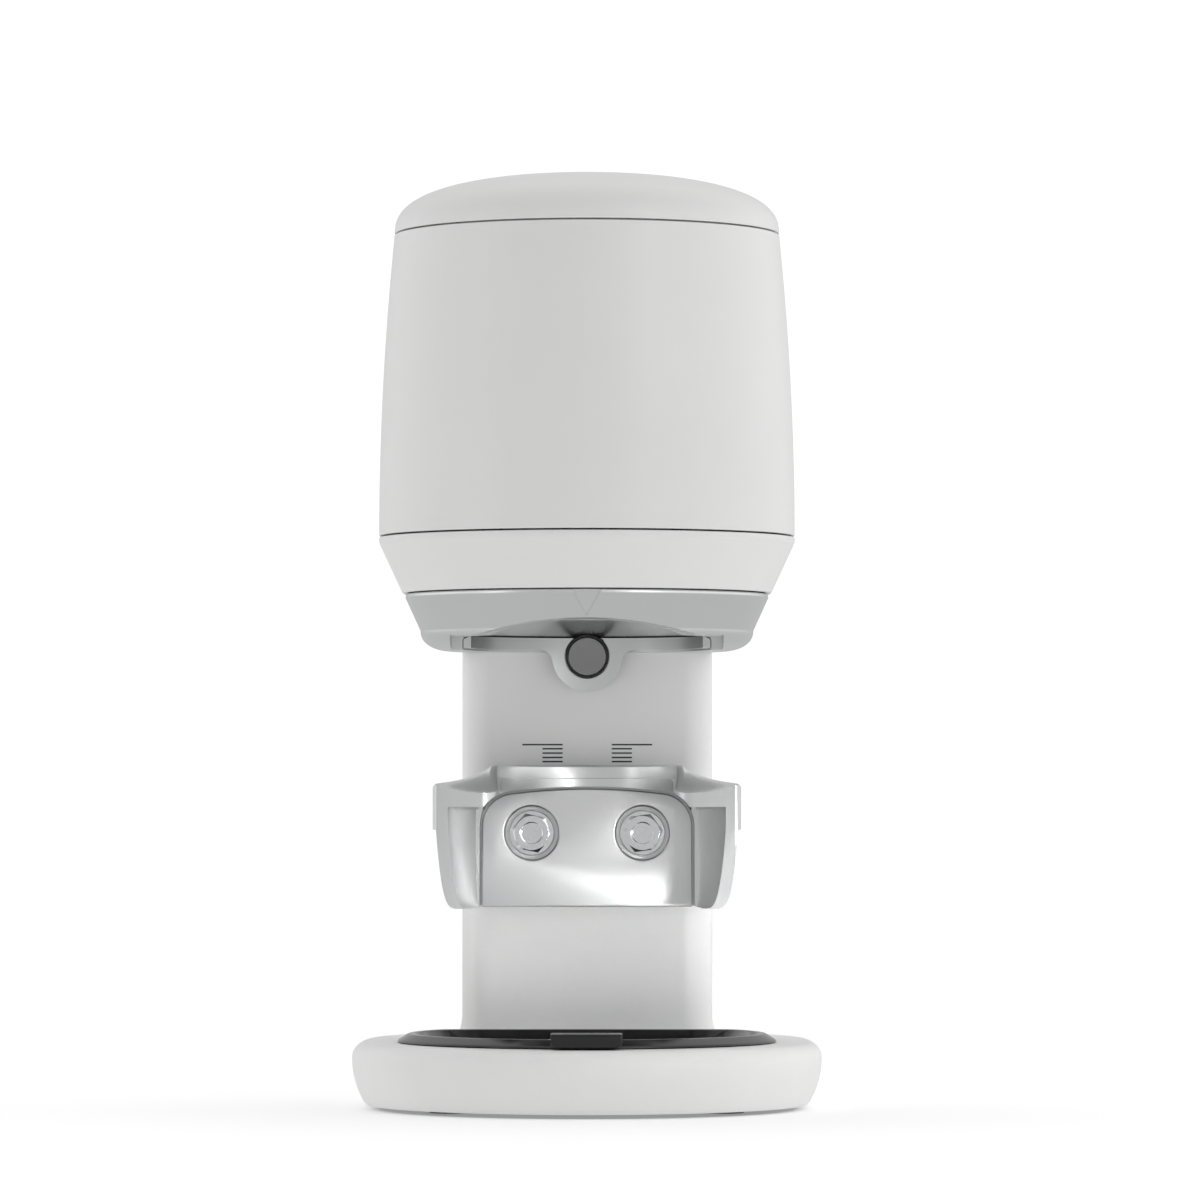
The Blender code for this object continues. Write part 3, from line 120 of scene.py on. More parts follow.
def open_group(name: str, inputs: list[tuple[str, str, object]], outputs: list[tuple[str, str]]) -> tuple:
    """Starts a shader node group with named sockets.

    Args:
        name: the group's name.
        inputs: (name, socket type, default) of each input.
        outputs: (name, socket type) of each output.

    Returns:
        The group, its graph, its input node and its output node.
    """
    group = bpy.data.node_groups.new(name, "ShaderNodeTree")
    for label, kind, default in inputs:
        socket = group.interface.new_socket(name=label, in_out="INPUT", socket_type=kind)
        if default is not None:
            socket.default_value = default
    for label, kind in outputs:
        group.interface.new_socket(name=label, in_out="OUTPUT", socket_type=kind)
    graph = Graph(group)
    return group, graph, graph.add("NodeGroupInput"), graph.add("NodeGroupOutput")


def make_skin_group() -> bpy.types.NodeTree:
    """The surface of a moulded or painted skin: a slow waviness plus a fine grain, as one height."""
    group, graph, given, out = open_group(
        "skin_texture",
        [
            ("Vector", "NodeSocketVector", None),
            ("Grain Scale", "NodeSocketFloat", 900.0),
            ("Wave Scale", "NodeSocketFloat", 60.0),
            ("Wave Share", "NodeSocketFloat", 0.5),
        ],
        [("Height", "NodeSocketFloat")],
    )
    where = given.outputs["Vector"]
    grain = graph.add(
        "ShaderNodeTexNoise", {"Vector": where, "Scale": given.outputs["Grain Scale"], "Detail": 3.0}
    )
    wave = graph.add(
        "ShaderNodeTexNoise", {"Vector": where, "Scale": given.outputs["Wave Scale"], "Detail": 2.0}
    )
    mix = graph.add(
        "ShaderNodeMix",
        {0: given.outputs["Wave Share"], 2: grain.outputs["Fac"], 3: wave.outputs["Fac"]},
        data_type="FLOAT",
    )
    graph.link(mix.outputs[0], out.inputs["Height"])
    return group


def make_wear_group() -> bpy.types.NodeTree:
    """Handling marks: faint cloudy smudges between a low and a high value, for roughness and for tint."""
    group, graph, given, out = open_group(
        "handling_marks",
        [
            ("Vector", "NodeSocketVector", None),
            ("Scale", "NodeSocketFloat", 14.0),
            ("Low", "NodeSocketFloat", 0.3),
            ("High", "NodeSocketFloat", 0.4),
        ],
        [("Value", "NodeSocketFloat"), ("Mask", "NodeSocketFloat")],
    )
    cloud = graph.add(
        "ShaderNodeTexNoise",
        {
            "Vector": given.outputs["Vector"],
            "Scale": given.outputs["Scale"],
            "Detail": 5.0,
            "Roughness": 0.62,
        },
    )
    mask = graph.add(
        "ShaderNodeMapRange", {"Value": cloud.outputs["Fac"], "From Min": 0.38, "From Max": 0.66}
    )
    value = graph.add(
        "ShaderNodeMapRange",
        {"Value": mask.outputs["Result"], "To Min": given.outputs["Low"], "To Max": given.outputs["High"]},
    )
    graph.link(value.outputs["Result"], out.inputs["Value"])
    graph.link(mask.outputs["Result"], out.inputs["Mask"])
    return group


def make_streak_group() -> bpy.types.NodeTree:
    """Brushing: noise stretched along one axis by the Stretch vector, as a 0 to 1 streak."""
    group, graph, given, out = open_group(
        "brush_streaks",
        [
            ("Vector", "NodeSocketVector", None),
            ("Stretch", "NodeSocketVector", (1.0, 1.0, 1.0)),
            ("Scale", "NodeSocketFloat", 300.0),
        ],
        [("Streak", "NodeSocketFloat")],
    )
    spread = graph.add(
        "ShaderNodeVectorMath",
        {0: given.outputs["Vector"], 1: given.outputs["Stretch"]},
        operation="MULTIPLY",
    )
    noise = graph.add(
        "ShaderNodeTexNoise", {"Vector": spread.outputs[0], "Scale": given.outputs["Scale"], "Detail": 4.0}
    )
    graph.link(noise.outputs["Fac"], out.inputs["Streak"])
    return group


class Groups:
    """The shared shader node groups, made once."""

    skin = make_skin_group()
    wear = make_wear_group()
    streak = make_streak_group()


def start_material(name: str) -> tuple[bpy.types.Material, Graph, bpy.types.Node, bpy.types.NodeSocket]:
    """A new node material.

    Args:
        name: the material's name.

    Returns:
        The material, its graph, its shader and the object coordinates' socket.
    """
    made = bpy.data.materials.new(name)
    made.use_nodes = True
    graph = Graph(made.node_tree)
    shader = made.node_tree.nodes["Principled BSDF"]
    place = graph.add("ShaderNodeTexCoord")
    return made, graph, shader, place.outputs["Object"]


@dataclass(frozen=True)
class Skin:
    """A painted, moulded or rubber surface: one colour with faint clouding, grain and handling marks.

    Attributes:
        colour: base colour, linear.
        shade: how much darker the clouding gets, 0 to 1.
        rough: lowest and highest roughness.
        grain: bump height of the grain, in metres.
        grain_scale: fineness of the grain.
        wave_share: share of slow waviness in the bump.
        coat: clear coat weight.
        specular: specular level.
    """

    name: str
    colour: tuple[float, float, float]
    shade: float
    rough: tuple[float, float]
    grain: float
    grain_scale: float = 900.0
    wave_share: float = 0.4
    coat: float = 0.0
    specular: float = 0.5

    def build(self) -> bpy.types.Material:
        """Makes the material."""
        made, graph, shader, where = start_material(self.name)
        wear = graph.add("ShaderNodeGroup", node_tree=Groups.wear)
        graph.link(where, wear.inputs["Vector"])
        wear.inputs["Low"].default_value, wear.inputs["High"].default_value = self.rough
        graph.link(wear.outputs["Value"], shader.inputs["Roughness"])
        darker = tuple(part * (1 - self.shade) for part in self.colour)
        tint = graph.add(
            "ShaderNodeMix",
            {0: wear.outputs["Mask"], 6: (*self.colour, 1.0), 7: (*darker, 1.0)},
            data_type="RGBA",
        )
        graph.link(tint.outputs[2], shader.inputs["Base Color"])
        skin = graph.add("ShaderNodeGroup", node_tree=Groups.skin)
        graph.link(where, skin.inputs["Vector"])
        skin.inputs["Grain Scale"].default_value = self.grain_scale
        skin.inputs["Wave Share"].default_value = self.wave_share
        bump = graph.add(
            "ShaderNodeBump", {"Height": skin.outputs["Height"], "Strength": 1.0, "Distance": self.grain}
        )
        graph.link(bump.outputs["Normal"], shader.inputs["Normal"])
        shader.inputs["Coat Weight"].default_value = self.coat
        shader.inputs["Coat Roughness"].default_value = COAT_ROUGHNESS
        shader.inputs["Specular IOR Level"].default_value = self.specular
        return made


@dataclass(frozen=True)
class Metal:
    """A bare or cast metal: a metallic colour with streaks or grain in its tint, roughness and normal.

    Attributes:
        colour: reflectance, linear.
        rough: lowest and highest roughness.
        stretch: how the brushing is squeezed along X, Y and Z. Equal numbers give an even grain.
        streak_scale: fineness of the brushing.
        bump: height of the brushing, in metres, or 0 for none.
        shade: how much darker a streak gets, 0 to 1.
        glint: how far a streak moves the roughness.
    """

    name: str
    colour: tuple[float, float, float]
    rough: tuple[float, float]
    stretch: tuple[float, float, float] = (1.0, 1.0, 1.0)
    streak_scale: float = 700.0
    bump: float = 0.00001
    shade: float = 0.12
    glint: float = 0.06

    def build(self) -> bpy.types.Material:
        """Makes the material."""
        made, graph, shader, where = start_material(self.name)
        streak = graph.add("ShaderNodeGroup", node_tree=Groups.streak)
        graph.link(where, streak.inputs["Vector"])
        streak.inputs["Stretch"].default_value = self.stretch
        streak.inputs["Scale"].default_value = self.streak_scale
        wear = graph.add("ShaderNodeGroup", node_tree=Groups.wear)
        graph.link(where, wear.inputs["Vector"])
        wear.inputs["Low"].default_value, wear.inputs["High"].default_value = self.rough
        both = graph.add(
            "ShaderNodeMath",
            {0: streak.outputs["Streak"], 1: self.glint, 2: -self.glint / 2},
            operation="MULTIPLY_ADD",
        )
        rough = graph.add("ShaderNodeMath", {0: wear.outputs["Value"], 1: both.outputs[0]}, operation="ADD")
        graph.link(rough.outputs[0], shader.inputs["Roughness"])
        darker = tuple(part * (1 - self.shade) for part in self.colour)
        tint = graph.add(
            "ShaderNodeMix",
            {0: streak.outputs["Streak"], 6: (*self.colour, 1.0), 7: (*darker, 1.0)},
            data_type="RGBA",
        )
        graph.link(tint.outputs[2], shader.inputs["Base Color"])
        if self.bump > 0:
            bump = graph.add(
                "ShaderNodeBump", {"Height": streak.outputs["Streak"], "Strength": 1.0, "Distance": self.bump}
            )
            graph.link(bump.outputs["Normal"], shader.inputs["Normal"])
        shader.inputs["Metallic"].default_value = 1.0
        return made


@dataclass(frozen=True)
class Board:
    """A printed circuit board: green mask over copper tracks drawn by a brick pattern."""

    name: str = "circuit_board"

    def build(self) -> bpy.types.Material:
        """Makes the material."""
        made, graph, shader, where = start_material(self.name)
        tracks = graph.add("ShaderNodeTexBrick", {"Vector": where, "Scale": 90.0, "Mortar Size": 0.05})
        tracks.inputs["Color1"].default_value = (0.012, 0.10, 0.04, 1)
        tracks.inputs["Color2"].default_value = (0.016, 0.13, 0.05, 1)
        tracks.inputs["Mortar"].default_value = (0.05, 0.28, 0.10, 1)
        graph.link(tracks.outputs["Color"], shader.inputs["Base Color"])
        shader.inputs["Roughness"].default_value = 0.35
        return made


class Look(Enum):
    """Every finish on the machine, by the maker's name for it."""

    WHITE_SHELL = Skin("white_shell_paint", (0.78, 0.78, 0.775), 0.02, (0.34, 0.42), 0.000004, 700.0, 0.7)
    WHITE_BODY = Skin("white_body_paint", (0.86, 0.86, 0.855), 0.025, (0.40, 0.48), 0.000006, 1100.0, 0.5)
    SILVER = Metal(
        "silver_cast",
        (0.74, 0.75, 0.75),
        (0.30, 0.315),
        streak_scale=1400.0,
        bump=0.0,
        shade=0.03,
        glint=0.02,
    )
    BRUSHED = Metal(
        "brushed_plate",
        (0.72, 0.725, 0.725),
        (0.345, 0.36),
        (1.0, 1.0, 30.0),
        90.0,
        bump=0.0,
        shade=0.02,
        glint=0.008,
    )
    ZINC = Metal("zinc_steel", (0.82, 0.83, 0.84), (0.12, 0.22), streak_scale=900.0, bump=0.00001, shade=0.15)
    DARK_STEEL = Metal("dark_steel", (0.28, 0.29, 0.30), (0.36, 0.48), streak_scale=800.0)
    BRONZE = Metal("bearing_bronze", (0.55, 0.38, 0.20), (0.28, 0.40), streak_scale=800.0)
    TRAY_BLACK = Skin(
        "tray_black", (0.004, 0.004, 0.0045), 0.1, (0.10, 0.17), 0.000002, 500.0, 0.8, specular=0.55
    )
    BLACK_MOULDING = Skin("black_moulding", (0.016, 0.016, 0.017), 0.1, (0.42, 0.54), 0.00003, 1500.0, 0.1)
    BUTTON_GREY = Skin("button_grey", (0.270, 0.270, 0.268), 0.05, (0.38, 0.46), 0.00001, 1500.0, 0.1)
    PRINT = Skin("height_print", (0.035, 0.035, 0.037), 0.1, (0.5, 0.6), 0.000003, 2500.0, 0.1)
    RUBBER = Skin("foot_rubber", (0.022, 0.022, 0.022), 0.2, (0.75, 0.88), 0.00004, 1800.0, 0.2)
    DISPLAY = Skin("display_glass", (0.006, 0.006, 0.008), 0.1, (0.05, 0.09), 0.000001, 400.0, 0.9)
    BOARD = Board()


class Finishes:
    """Builds each finish the first time that it is asked for."""

    def __init__(self) -> None:
        self.made: dict[Look, bpy.types.Material] = {}

    def get(self, look: Look) -> bpy.types.Material:
        """The material of a look."""
        if look not in self.made:
            self.made[look] = look.value.build()
        return self.made[look]


FINISHES = Finishes()


# Surfaces ---------------------------------------------------------------------------------------


def outward(points: np.ndarray, faces: list[np.ndarray]) -> list[np.ndarray]:
    """Turns every face round when the closed surface that they make holds a negative volume.

    The volume is a sixth of the sum, over triangles a, b, c, of a . (b x c).

    Args:
        points: the vertices, N by 3.
        faces: arrays of triangles or quads, each M by 3 or M by 4.

    Returns:
        The faces, pointing out.
    """
    volume = 0.0
    for some in faces:
        for last in range(2, some.shape[1]):
            a, b, c = points[some[:, 0]], points[some[:, last - 1]], points[some[:, last]]
            volume += float(np.einsum("ij,ij->i", a, np.cross(b, c)).sum())
    return [some[:, ::-1] for some in faces] if volume < 0 else faces


def mesh_object(
    name: str, points: np.ndarray, faces: list[np.ndarray], sharp: float = 32.0
) -> bpy.types.Object:
    """Makes an object from vertices and faces, smooth but for edges sharper than an angle.

    Args:
        name: the piece's name.
        points: vertices, N by 3.
        faces: arrays of triangles or quads.
        sharp: the angle, in degrees, past which an edge stays crisp.

    Returns:
        The object, at the origin.
    """
    mesh = bpy.data.meshes.new(name)
    rows = [row for some in faces for row in some.tolist()]
    mesh.from_pydata(points.tolist(), [], rows)
    mesh.validate()
    mesh.shade_smooth()
    mesh.set_sharp_from_angle(angle=math.radians(sharp))
    made = bpy.data.objects.new(name, mesh)
    bpy.context.scene.collection.objects.link(made)
    return made


def skin(name: str, rings: np.ndarray, ends: str = "caps", sharp: float = 32.0) -> bpy.types.Object:
    """A surface S(u, v) = ring v at parameter u, each ring closed on itself, closed into a solid.

    Args:
        name: the piece's name.
        rings: V by U by 3, the rings in order.
        ends: "caps" closes the two end rings with a fan about their middle, "flat" with one face
            each, and "loop" joins the last ring to the first.
        sharp: the crisp angle, in degrees.

    Returns:
        The object.
    """
    rows, columns = rings.shape[:2]
    points = rings.reshape(-1, 3)
    number = np.arange(rows * columns).reshape(rows, columns)
    if ends == "loop":
        number = np.vstack([number, number[:1]])
    number = np.hstack([number, number[:, :1]])
    quads = np.stack([number[:-1, :-1], number[:-1, 1:], number[1:, 1:], number[1:, :-1]], axis=-1)
    faces = [quads.reshape(-1, 4)]
    if ends == "caps":
        middles = np.stack([rings[0].mean(axis=0), rings[-1].mean(axis=0)])
        for end, row in ((0, number[0, ::-1]), (1, number[-1])):
            pole = np.full(len(row) - 1, len(points) + end)
            faces.append(np.stack([row[:-1], row[1:], pole], axis=1))
        points = np.vstack([points, middles])
    if ends == "flat":
        faces += [number[:1, :columns][:, ::-1], number[-1:, :columns]]
    return mesh_object(name, points, outward(points, faces), sharp)


def ease(share: np.ndarray) -> np.ndarray:
    """s(e) = e^2 (3 - 2e), with e held between 0 and 1."""
    held = np.clip(share, 0, 1)
    return held * held * (3 - 2 * held)


def level(outline: np.ndarray, z: float) -> np.ndarray:
    """An outline about the tamping axis, as a ring at a height."""
    return np.column_stack([outline[:, 0], outline[:, 1] + AXIS_Y, np.full(len(outline), z)])


def head_plan(radius: float, ratio: float, power: float, steps: int) -> np.ndarray:
    """Round in front of the axis and squarer behind: r(a) = (|cos a / R|^n + |sin a / kR|^n)^(-1/n).

    Args:
        radius: R, the half width.
        ratio: k behind the axis; it is 1 in front.
        power: n behind the axis; it is 2 in front.
        steps: points round the outline.

    Returns:
        The outline, steps by 2.
    """
    angles = np.linspace(0, 2 * math.pi, steps, endpoint=False)
    behind = np.sin(angles) > 0
    bend = np.where(behind, power, 2.0)
    depth = np.where(behind, radius * ratio, radius)
    across, along = np.abs(np.cos(angles)) / radius, np.abs(np.sin(angles)) / depth
    reach = (across**bend + along**bend) ** (-1 / bend)
    return np.stack([reach * np.cos(angles), reach * np.sin(angles)], axis=1)


def arc(centre: tuple[float, float], radius: float, start: float, end: float, steps: int) -> np.ndarray:
    """Points on an arc, both ends in, with its angles in degrees."""
    angles = np.radians(np.linspace(start, end, steps))
    return np.stack([centre[0] + radius * np.cos(angles), centre[1] + radius * np.sin(angles)], axis=1)


def eased(corners_in: list[tuple[float, float, float]], closed: bool, steps: int = 5) -> np.ndarray:
    """A polygon with each corner turned into a quadratic curve.

    Each corner P with round r starts at P + r a and ends at P + r b, where a and b point to its
    neighbours, and runs (1-t)^2 (P + r a) + 2t(1-t) P + t^2 (P + r b).

    Args:
        corners_in: (first, second, round) of each corner.
        closed: whether the last corner joins the first.
        steps: points along each round.

    Returns:
        The points, N by 2.
    """
    given = np.array(corners_in, dtype=float)
    spots, rounds = given[:, :2], given[:, 2]
    before = np.roll(spots, 1, axis=0) - spots
    after = np.roll(spots, -1, axis=0) - spots
    far_before = np.linalg.norm(before, axis=1)
    far_after = np.linalg.norm(after, axis=1)
    limit = np.minimum(rounds, 0.49 * np.minimum(far_before, far_after))
    start = spots + before / far_before[:, None] * limit[:, None]
    stop = spots + after / far_after[:, None] * limit[:, None]
    t = np.linspace(0, 1, steps)[None, :, None]
    curves = (1 - t) ** 2 * start[:, None] + 2 * t * (1 - t) * spots[:, None] + t**2 * stop[:, None]
    kept = []
    for index, curve in enumerate(curves):
        end = not closed and index in (0, len(curves) - 1)
        kept.append(spots[index : index + 1] if end or rounds[index] == 0 else curve)
    return np.vstack(kept)


def lathe(
    name: str, profile: np.ndarray, centre: Vector, axis: str = "Z", steps: int = 96, ends: str = "loop"
) -> bpy.types.Object:
    """A profile turned about an axis: (r cos u, r sin u, h) for each profile point (r, h).

    Args:
        name: the piece's name.
        profile: N by 2 of radius and height. With ends "caps" its first and last radii are small.
        centre: a point of the axis, at height 0.
        axis: "Z", or "Y" to run backwards.
        steps: points round the axis.
        ends: as in skin.

    Returns:
        The object.
    """
    turn = np.linspace(0, 2 * math.pi, steps, endpoint=False)
    radius, height = profile[:, :1], profile[:, 1:]
    first = radius * np.cos(turn)[None, :]
    second = radius * np.sin(turn)[None, :]
    third = np.broadcast_to(height, first.shape)
    shape = {"Z": (first, second, third), "Y": (first, third, second)}[axis]
    return skin(name, np.stack(shape, axis=-1) + np.array(centre)[None, None, :], ends)


def bore(name: str, radius: float, near: float, far: float, centre: Vector, steps: int) -> bpy.types.Object:
    """A plain round cutter that runs backwards between two depths."""
    profile = np.array([(TIP, near), (radius, near), (radius, far), (TIP, far)])
    return lathe(name, profile, centre, "Y", steps, "caps")


def prism(name: str, outline: np.ndarray, near: float, far: float, plane: str = "XZ") -> bpy.types.Object:
    """An outline carried straight between two depths (plane "XZ") or two heights (plane "XY")."""
    rings = []
    for away in (near, far):
        column = np.full(len(outline), away)
        columns = (outline[:, 0], column, outline[:, 1]) if plane == "XZ" else (*outline.T, column)
        rings.append(np.column_stack(columns))
    return skin(name, np.stack(rings), "flat")


def rounded_rectangle(
    left: float, right: float, low: float, high: float, radius: float, steps: int = 8
) -> np.ndarray:
    """A rectangle with round corners, counter-clockwise."""
    return np.vstack(
        [
            arc((right - radius, high - radius), radius, 0, 90, steps),
            arc((left + radius, high - radius), radius, 90, 180, steps),
            arc((left + radius, low + radius), radius, 180, 270, steps),
            arc((right - radius, low + radius), radius, 270, 360, steps),
        ]
    )


def spread(outline: np.ndarray, distance: float) -> np.ndarray:
    """An outline moved outwards along its own normals, n = (dy, -dx) of the neighbours' chord."""
    chord = np.roll(outline, -1, axis=0) - np.roll(outline, 1, axis=0)
    normal = np.stack([chord[:, 1], -chord[:, 0]], axis=1)
    normal /= np.maximum(np.linalg.norm(normal, axis=1), 1e-9)[:, None]
    return outline + normal * distance


def slab(name: str, outline: np.ndarray, front: float, back: float, edge: float = KNIFE) -> bpy.types.Object:
    """An upright plate with rounded rims: drawn in by e(1 - cos a) where its depth is e(1 - sin a).

    Args:
        name: the piece's name.
        outline: counter-clockwise, N by 2, across and along.
        front: the depth of one face.
        back: the depth of the other.
        edge: the rim's radius.

    Returns:
        The object.
    """
    turns = np.radians(np.linspace(0, 90, 5))
    inset = np.concatenate([edge * (1 - np.sin(turns)), edge * (1 - np.cos(turns))])
    depth = np.concatenate([front + edge * (1 - np.cos(turns)), back - edge * (1 - np.sin(turns))])
    rings = []
    for drawn, away in zip(inset, depth):
        ring = spread(outline, -drawn)
        rings.append(np.column_stack([ring[:, 0], np.full(len(ring), away), ring[:, 1]]))
    return skin(name, np.stack(rings), "flat")


class CutMode(Enum):
    """How a helper changes a piece."""

    TAKE = "DIFFERENCE"
    JOIN = "UNION"
    KEEP = "INTERSECT"


def apply_modifiers(piece: bpy.types.Object) -> None:
    """Makes a piece's modifiers part of its mesh."""
    bpy.context.view_layer.update()
    graph = bpy.context.evaluated_depsgraph_get()
    mesh = bpy.data.meshes.new_from_object(piece.evaluated_get(graph))
    old = piece.data
    name = old.name
    piece.modifiers.clear()
    piece.data = mesh
    bpy.data.meshes.remove(old)
    mesh.name = name


def shape_with(
    piece: bpy.types.Object, helpers: list[bpy.types.Object], mode: CutMode = CutMode.TAKE
) -> None:
    """Cuts, joins or trims a piece by helpers, and removes them."""
    for helper in helpers:
        change = piece.modifiers.new(helper.name, "BOOLEAN")
        change.operation = mode.value
        change.solver = "EXACT"
        change.object = helper
    apply_modifiers(piece)
    for helper in helpers:
        bpy.data.objects.remove(helper, do_unlink=True)


def crisp(piece: bpy.types.Object, degrees: float = 32.0, weld: float = 0.000002) -> None:
    """Welds a piece's doubled points, drops empty faces and marks its sharp edges again."""
    shape = bmesh.new()
    shape.from_mesh(piece.data)
    bmesh.ops.remove_doubles(shape, verts=shape.verts, dist=weld)
    bmesh.ops.dissolve_degenerate(shape, edges=shape.edges, dist=weld)
    shape.to_mesh(piece.data)
    shape.free()
    piece.data.shade_smooth()
    piece.data.set_sharp_from_angle(angle=math.radians(degrees))


def weigh(piece: bpy.types.Object) -> None:
    """Leans each smooth corner's normal towards its larger faces, so that wide flats stay flat."""
    normals = piece.modifiers.new("normals", "WEIGHTED_NORMAL")
    normals.keep_sharp = True
    normals.weight = 50
    apply_modifiers(piece)


def soften(piece: bpy.types.Object, width: float, segments: int = 3, degrees: float = 40.0) -> None:
    """Rounds the edges sharper than an angle, and makes that part of the mesh."""
    bevel = piece.modifiers.new("edge", "BEVEL")
    bevel.width = width
    bevel.segments = segments
    bevel.limit_method = "ANGLE"
    bevel.angle_limit = math.radians(degrees)
    apply_modifiers(piece)
    crisp(piece)
    weigh(piece)


def cuboid(name: str, low: tuple[float, float, float], high: tuple[float, float, float]) -> bpy.types.Object:
    """A helper box between two corners."""
    outline = rounded_rectangle(low[0], high[0], low[1], high[1], 0.0001 * mm, 1)
    rings = [np.column_stack([outline, np.full(4, z)]) for z in (low[2], high[2])]
    return skin(name, np.stack(rings), "caps")


def dress(piece: bpy.types.Object, look: Look) -> bpy.types.Object:
    """Gives a piece one finish."""
    piece.data.materials.clear()
    piece.data.materials.append(FINISHES.get(look))
    return piece


def settle(piece: bpy.types.Object, look: Look, slot: str, body: str, *nodes: str) -> bpy.types.Object:
    """Dresses a piece, rides it on its body and hides the nodes it stands for.

    Args:
        piece: the piece.
        look: its finish.
        slot: the record's material slot; not used.
        body: the body that it moves with.
        nodes: the working nodes that it replaces.

    Returns:
        The piece.
    """
    dress(piece, look)
    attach(piece, body)
    if nodes:
        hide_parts(*nodes)
    LOG.info("%s rides on %s, %d faces", piece.name, body, len(piece.data.polygons))
    return piece


def dress_nodes(looks: dict[Look, tuple[str, ...]]) -> None:
    """Gives each listed working node a better finish."""
    for look, nodes in looks.items():
        for node in nodes:
            dress(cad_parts[node], look)


# Head -------------------------------------------------------------------------------------------


@dataclass
class HeadPlan:
    """The D-shaped plan that every shell of the head shares."""

    ratio: float = 1.3
    power: float = 3.4
    steps: int = 256

    def rings(self, profile: np.ndarray) -> np.ndarray:
        """One ring of the plan at each (radius, height) of a profile."""
        return np.stack([level(head_plan(r, self.ratio, self.power, self.steps), z) for r, z in profile])


@dataclass
class HeadShells:
    """The cover, the lift-off cap and the skirt ring."""

    plan: HeadPlan = field(default_factory=HeadPlan)
    low: float = 205.0 * mm
    seam: float = 313.7 * mm
    radius: float = 74.7 * mm
    top_radius: float = 69.2 * mm
    wall: float = 2.5 * mm
    lip: float = 4.0 * mm
    ring_low: float = 184.8 * mm
    ring_low_radius: float = 66.3 * mm
    ring_band: float = 1.8 * mm
    ring_wall: float = 2.6 * mm
    edge: float = 0.45 * mm
    dome_across: float = 2 / 2.35
    dome_up: float = 2 / 2.55

    def cover(self) -> bpy.types.Object:
        """The cover, whose radius at height z is R - (R - r) t^2, t running from 0 at its foot to 1."""
        low = self.low + GAP
        high = self.seam - GAP
        heights = np.linspace(low + 1 * mm, high - 1 * mm, 40)
        rise = (heights - self.low) / (self.seam - self.low)
        outer = self.radius - (self.radius - self.top_radius) * rise**2
        side = [(outer[0], low, self.edge)]
        side += [(r, z, 0) for r, z in zip(outer, heights)]
        side += [
            (outer[-1], high, self.edge),
            (outer[-1] - self.wall, high, self.edge),
            (outer[20] - self.wall, heights[20], 0),
            (outer[0] - self.wall, low, self.edge),
        ]
        return skin("cover_shell", self.plan.rings(eased(side, True, 6)), "loop")

    def cap(self) -> bpy.types.Object:
        """The cap: r = R sin(t)^p, z = h cos(t)^q, over a lip that drops inside the cover."""
        foot = self.seam + GAP
        height = corners("head_cap")[1].z - foot
        lip = self.top_radius - self.wall - 2 * GAP
        under = foot - self.lip
        turn = np.radians(np.concatenate([np.linspace(90, 84, 8), np.linspace(82, 0.6, 54)]))
        thin = self.wall

        def dome(radius: float, tall: float, turns: np.ndarray) -> np.ndarray:
            """The cap's curve at one size."""
            across = radius * np.sin(turns) ** self.dome_across
            return np.stack([across, foot + tall * np.cos(turns) ** self.dome_up], axis=1)

        outer = dome(self.top_radius, height, turn)
        outer[:, 1] = np.maximum(outer[:, 1], foot)
        roof = dome(lip - thin, height - thin, turn[::-4])
        skirt = eased(
            [
                (lip - thin, foot, 0),
                (lip - thin, under, 0.3 * mm),
                (lip, under, 0.3 * mm),
                (lip, foot, 0),
                (self.top_radius, foot, self.edge),
                (self.top_radius, foot + 0.6 * mm, 0),
            ],
            False,
            5,
        )
        above = outer[outer[:, 1] > foot + 0.7 * mm]
        return skin("cap_shell", self.plan.rings(np.vstack([roof, skirt, above])), "caps")

    def skirt(self) -> bpy.types.Object:
        """The skirt ring: a lean from the bowl's rim out to a narrow upright band."""
        band = self.low - GAP - self.ring_band
        high = self.low - GAP
        lean = (self.radius - self.ring_low_radius) / (band - self.ring_low)
        start = self.ring_low + 0.8 * mm
        profile = eased(
            [
                (self.ring_low_radius, self.ring_low, self.edge),
                (self.ring_low_radius + lean * (start - self.ring_low), start, 0),
                (self.radius, band, 0.8 * mm),
                (self.radius, high, self.edge),
                (self.radius - self.ring_wall, high, self.edge),
                (self.radius - self.ring_wall, band, 0.5 * mm),
                (self.ring_low_radius - self.ring_wall, self.ring_low, self.edge),
            ],
            True,
            7,
        )
        return skin("skirt_band", self.plan.rings(profile), "loop")

    def build(self) -> None:
        """Makes the three shells."""
        settle(self.cover(), Look.WHITE_SHELL, "shell_paint", "stand", "head_cover")
        settle(self.cap(), Look.WHITE_SHELL, "shell_paint", "lid", "head_cap")
        settle(self.skirt(), Look.WHITE_SHELL, "shell_paint", "stand", "skirt_ring")


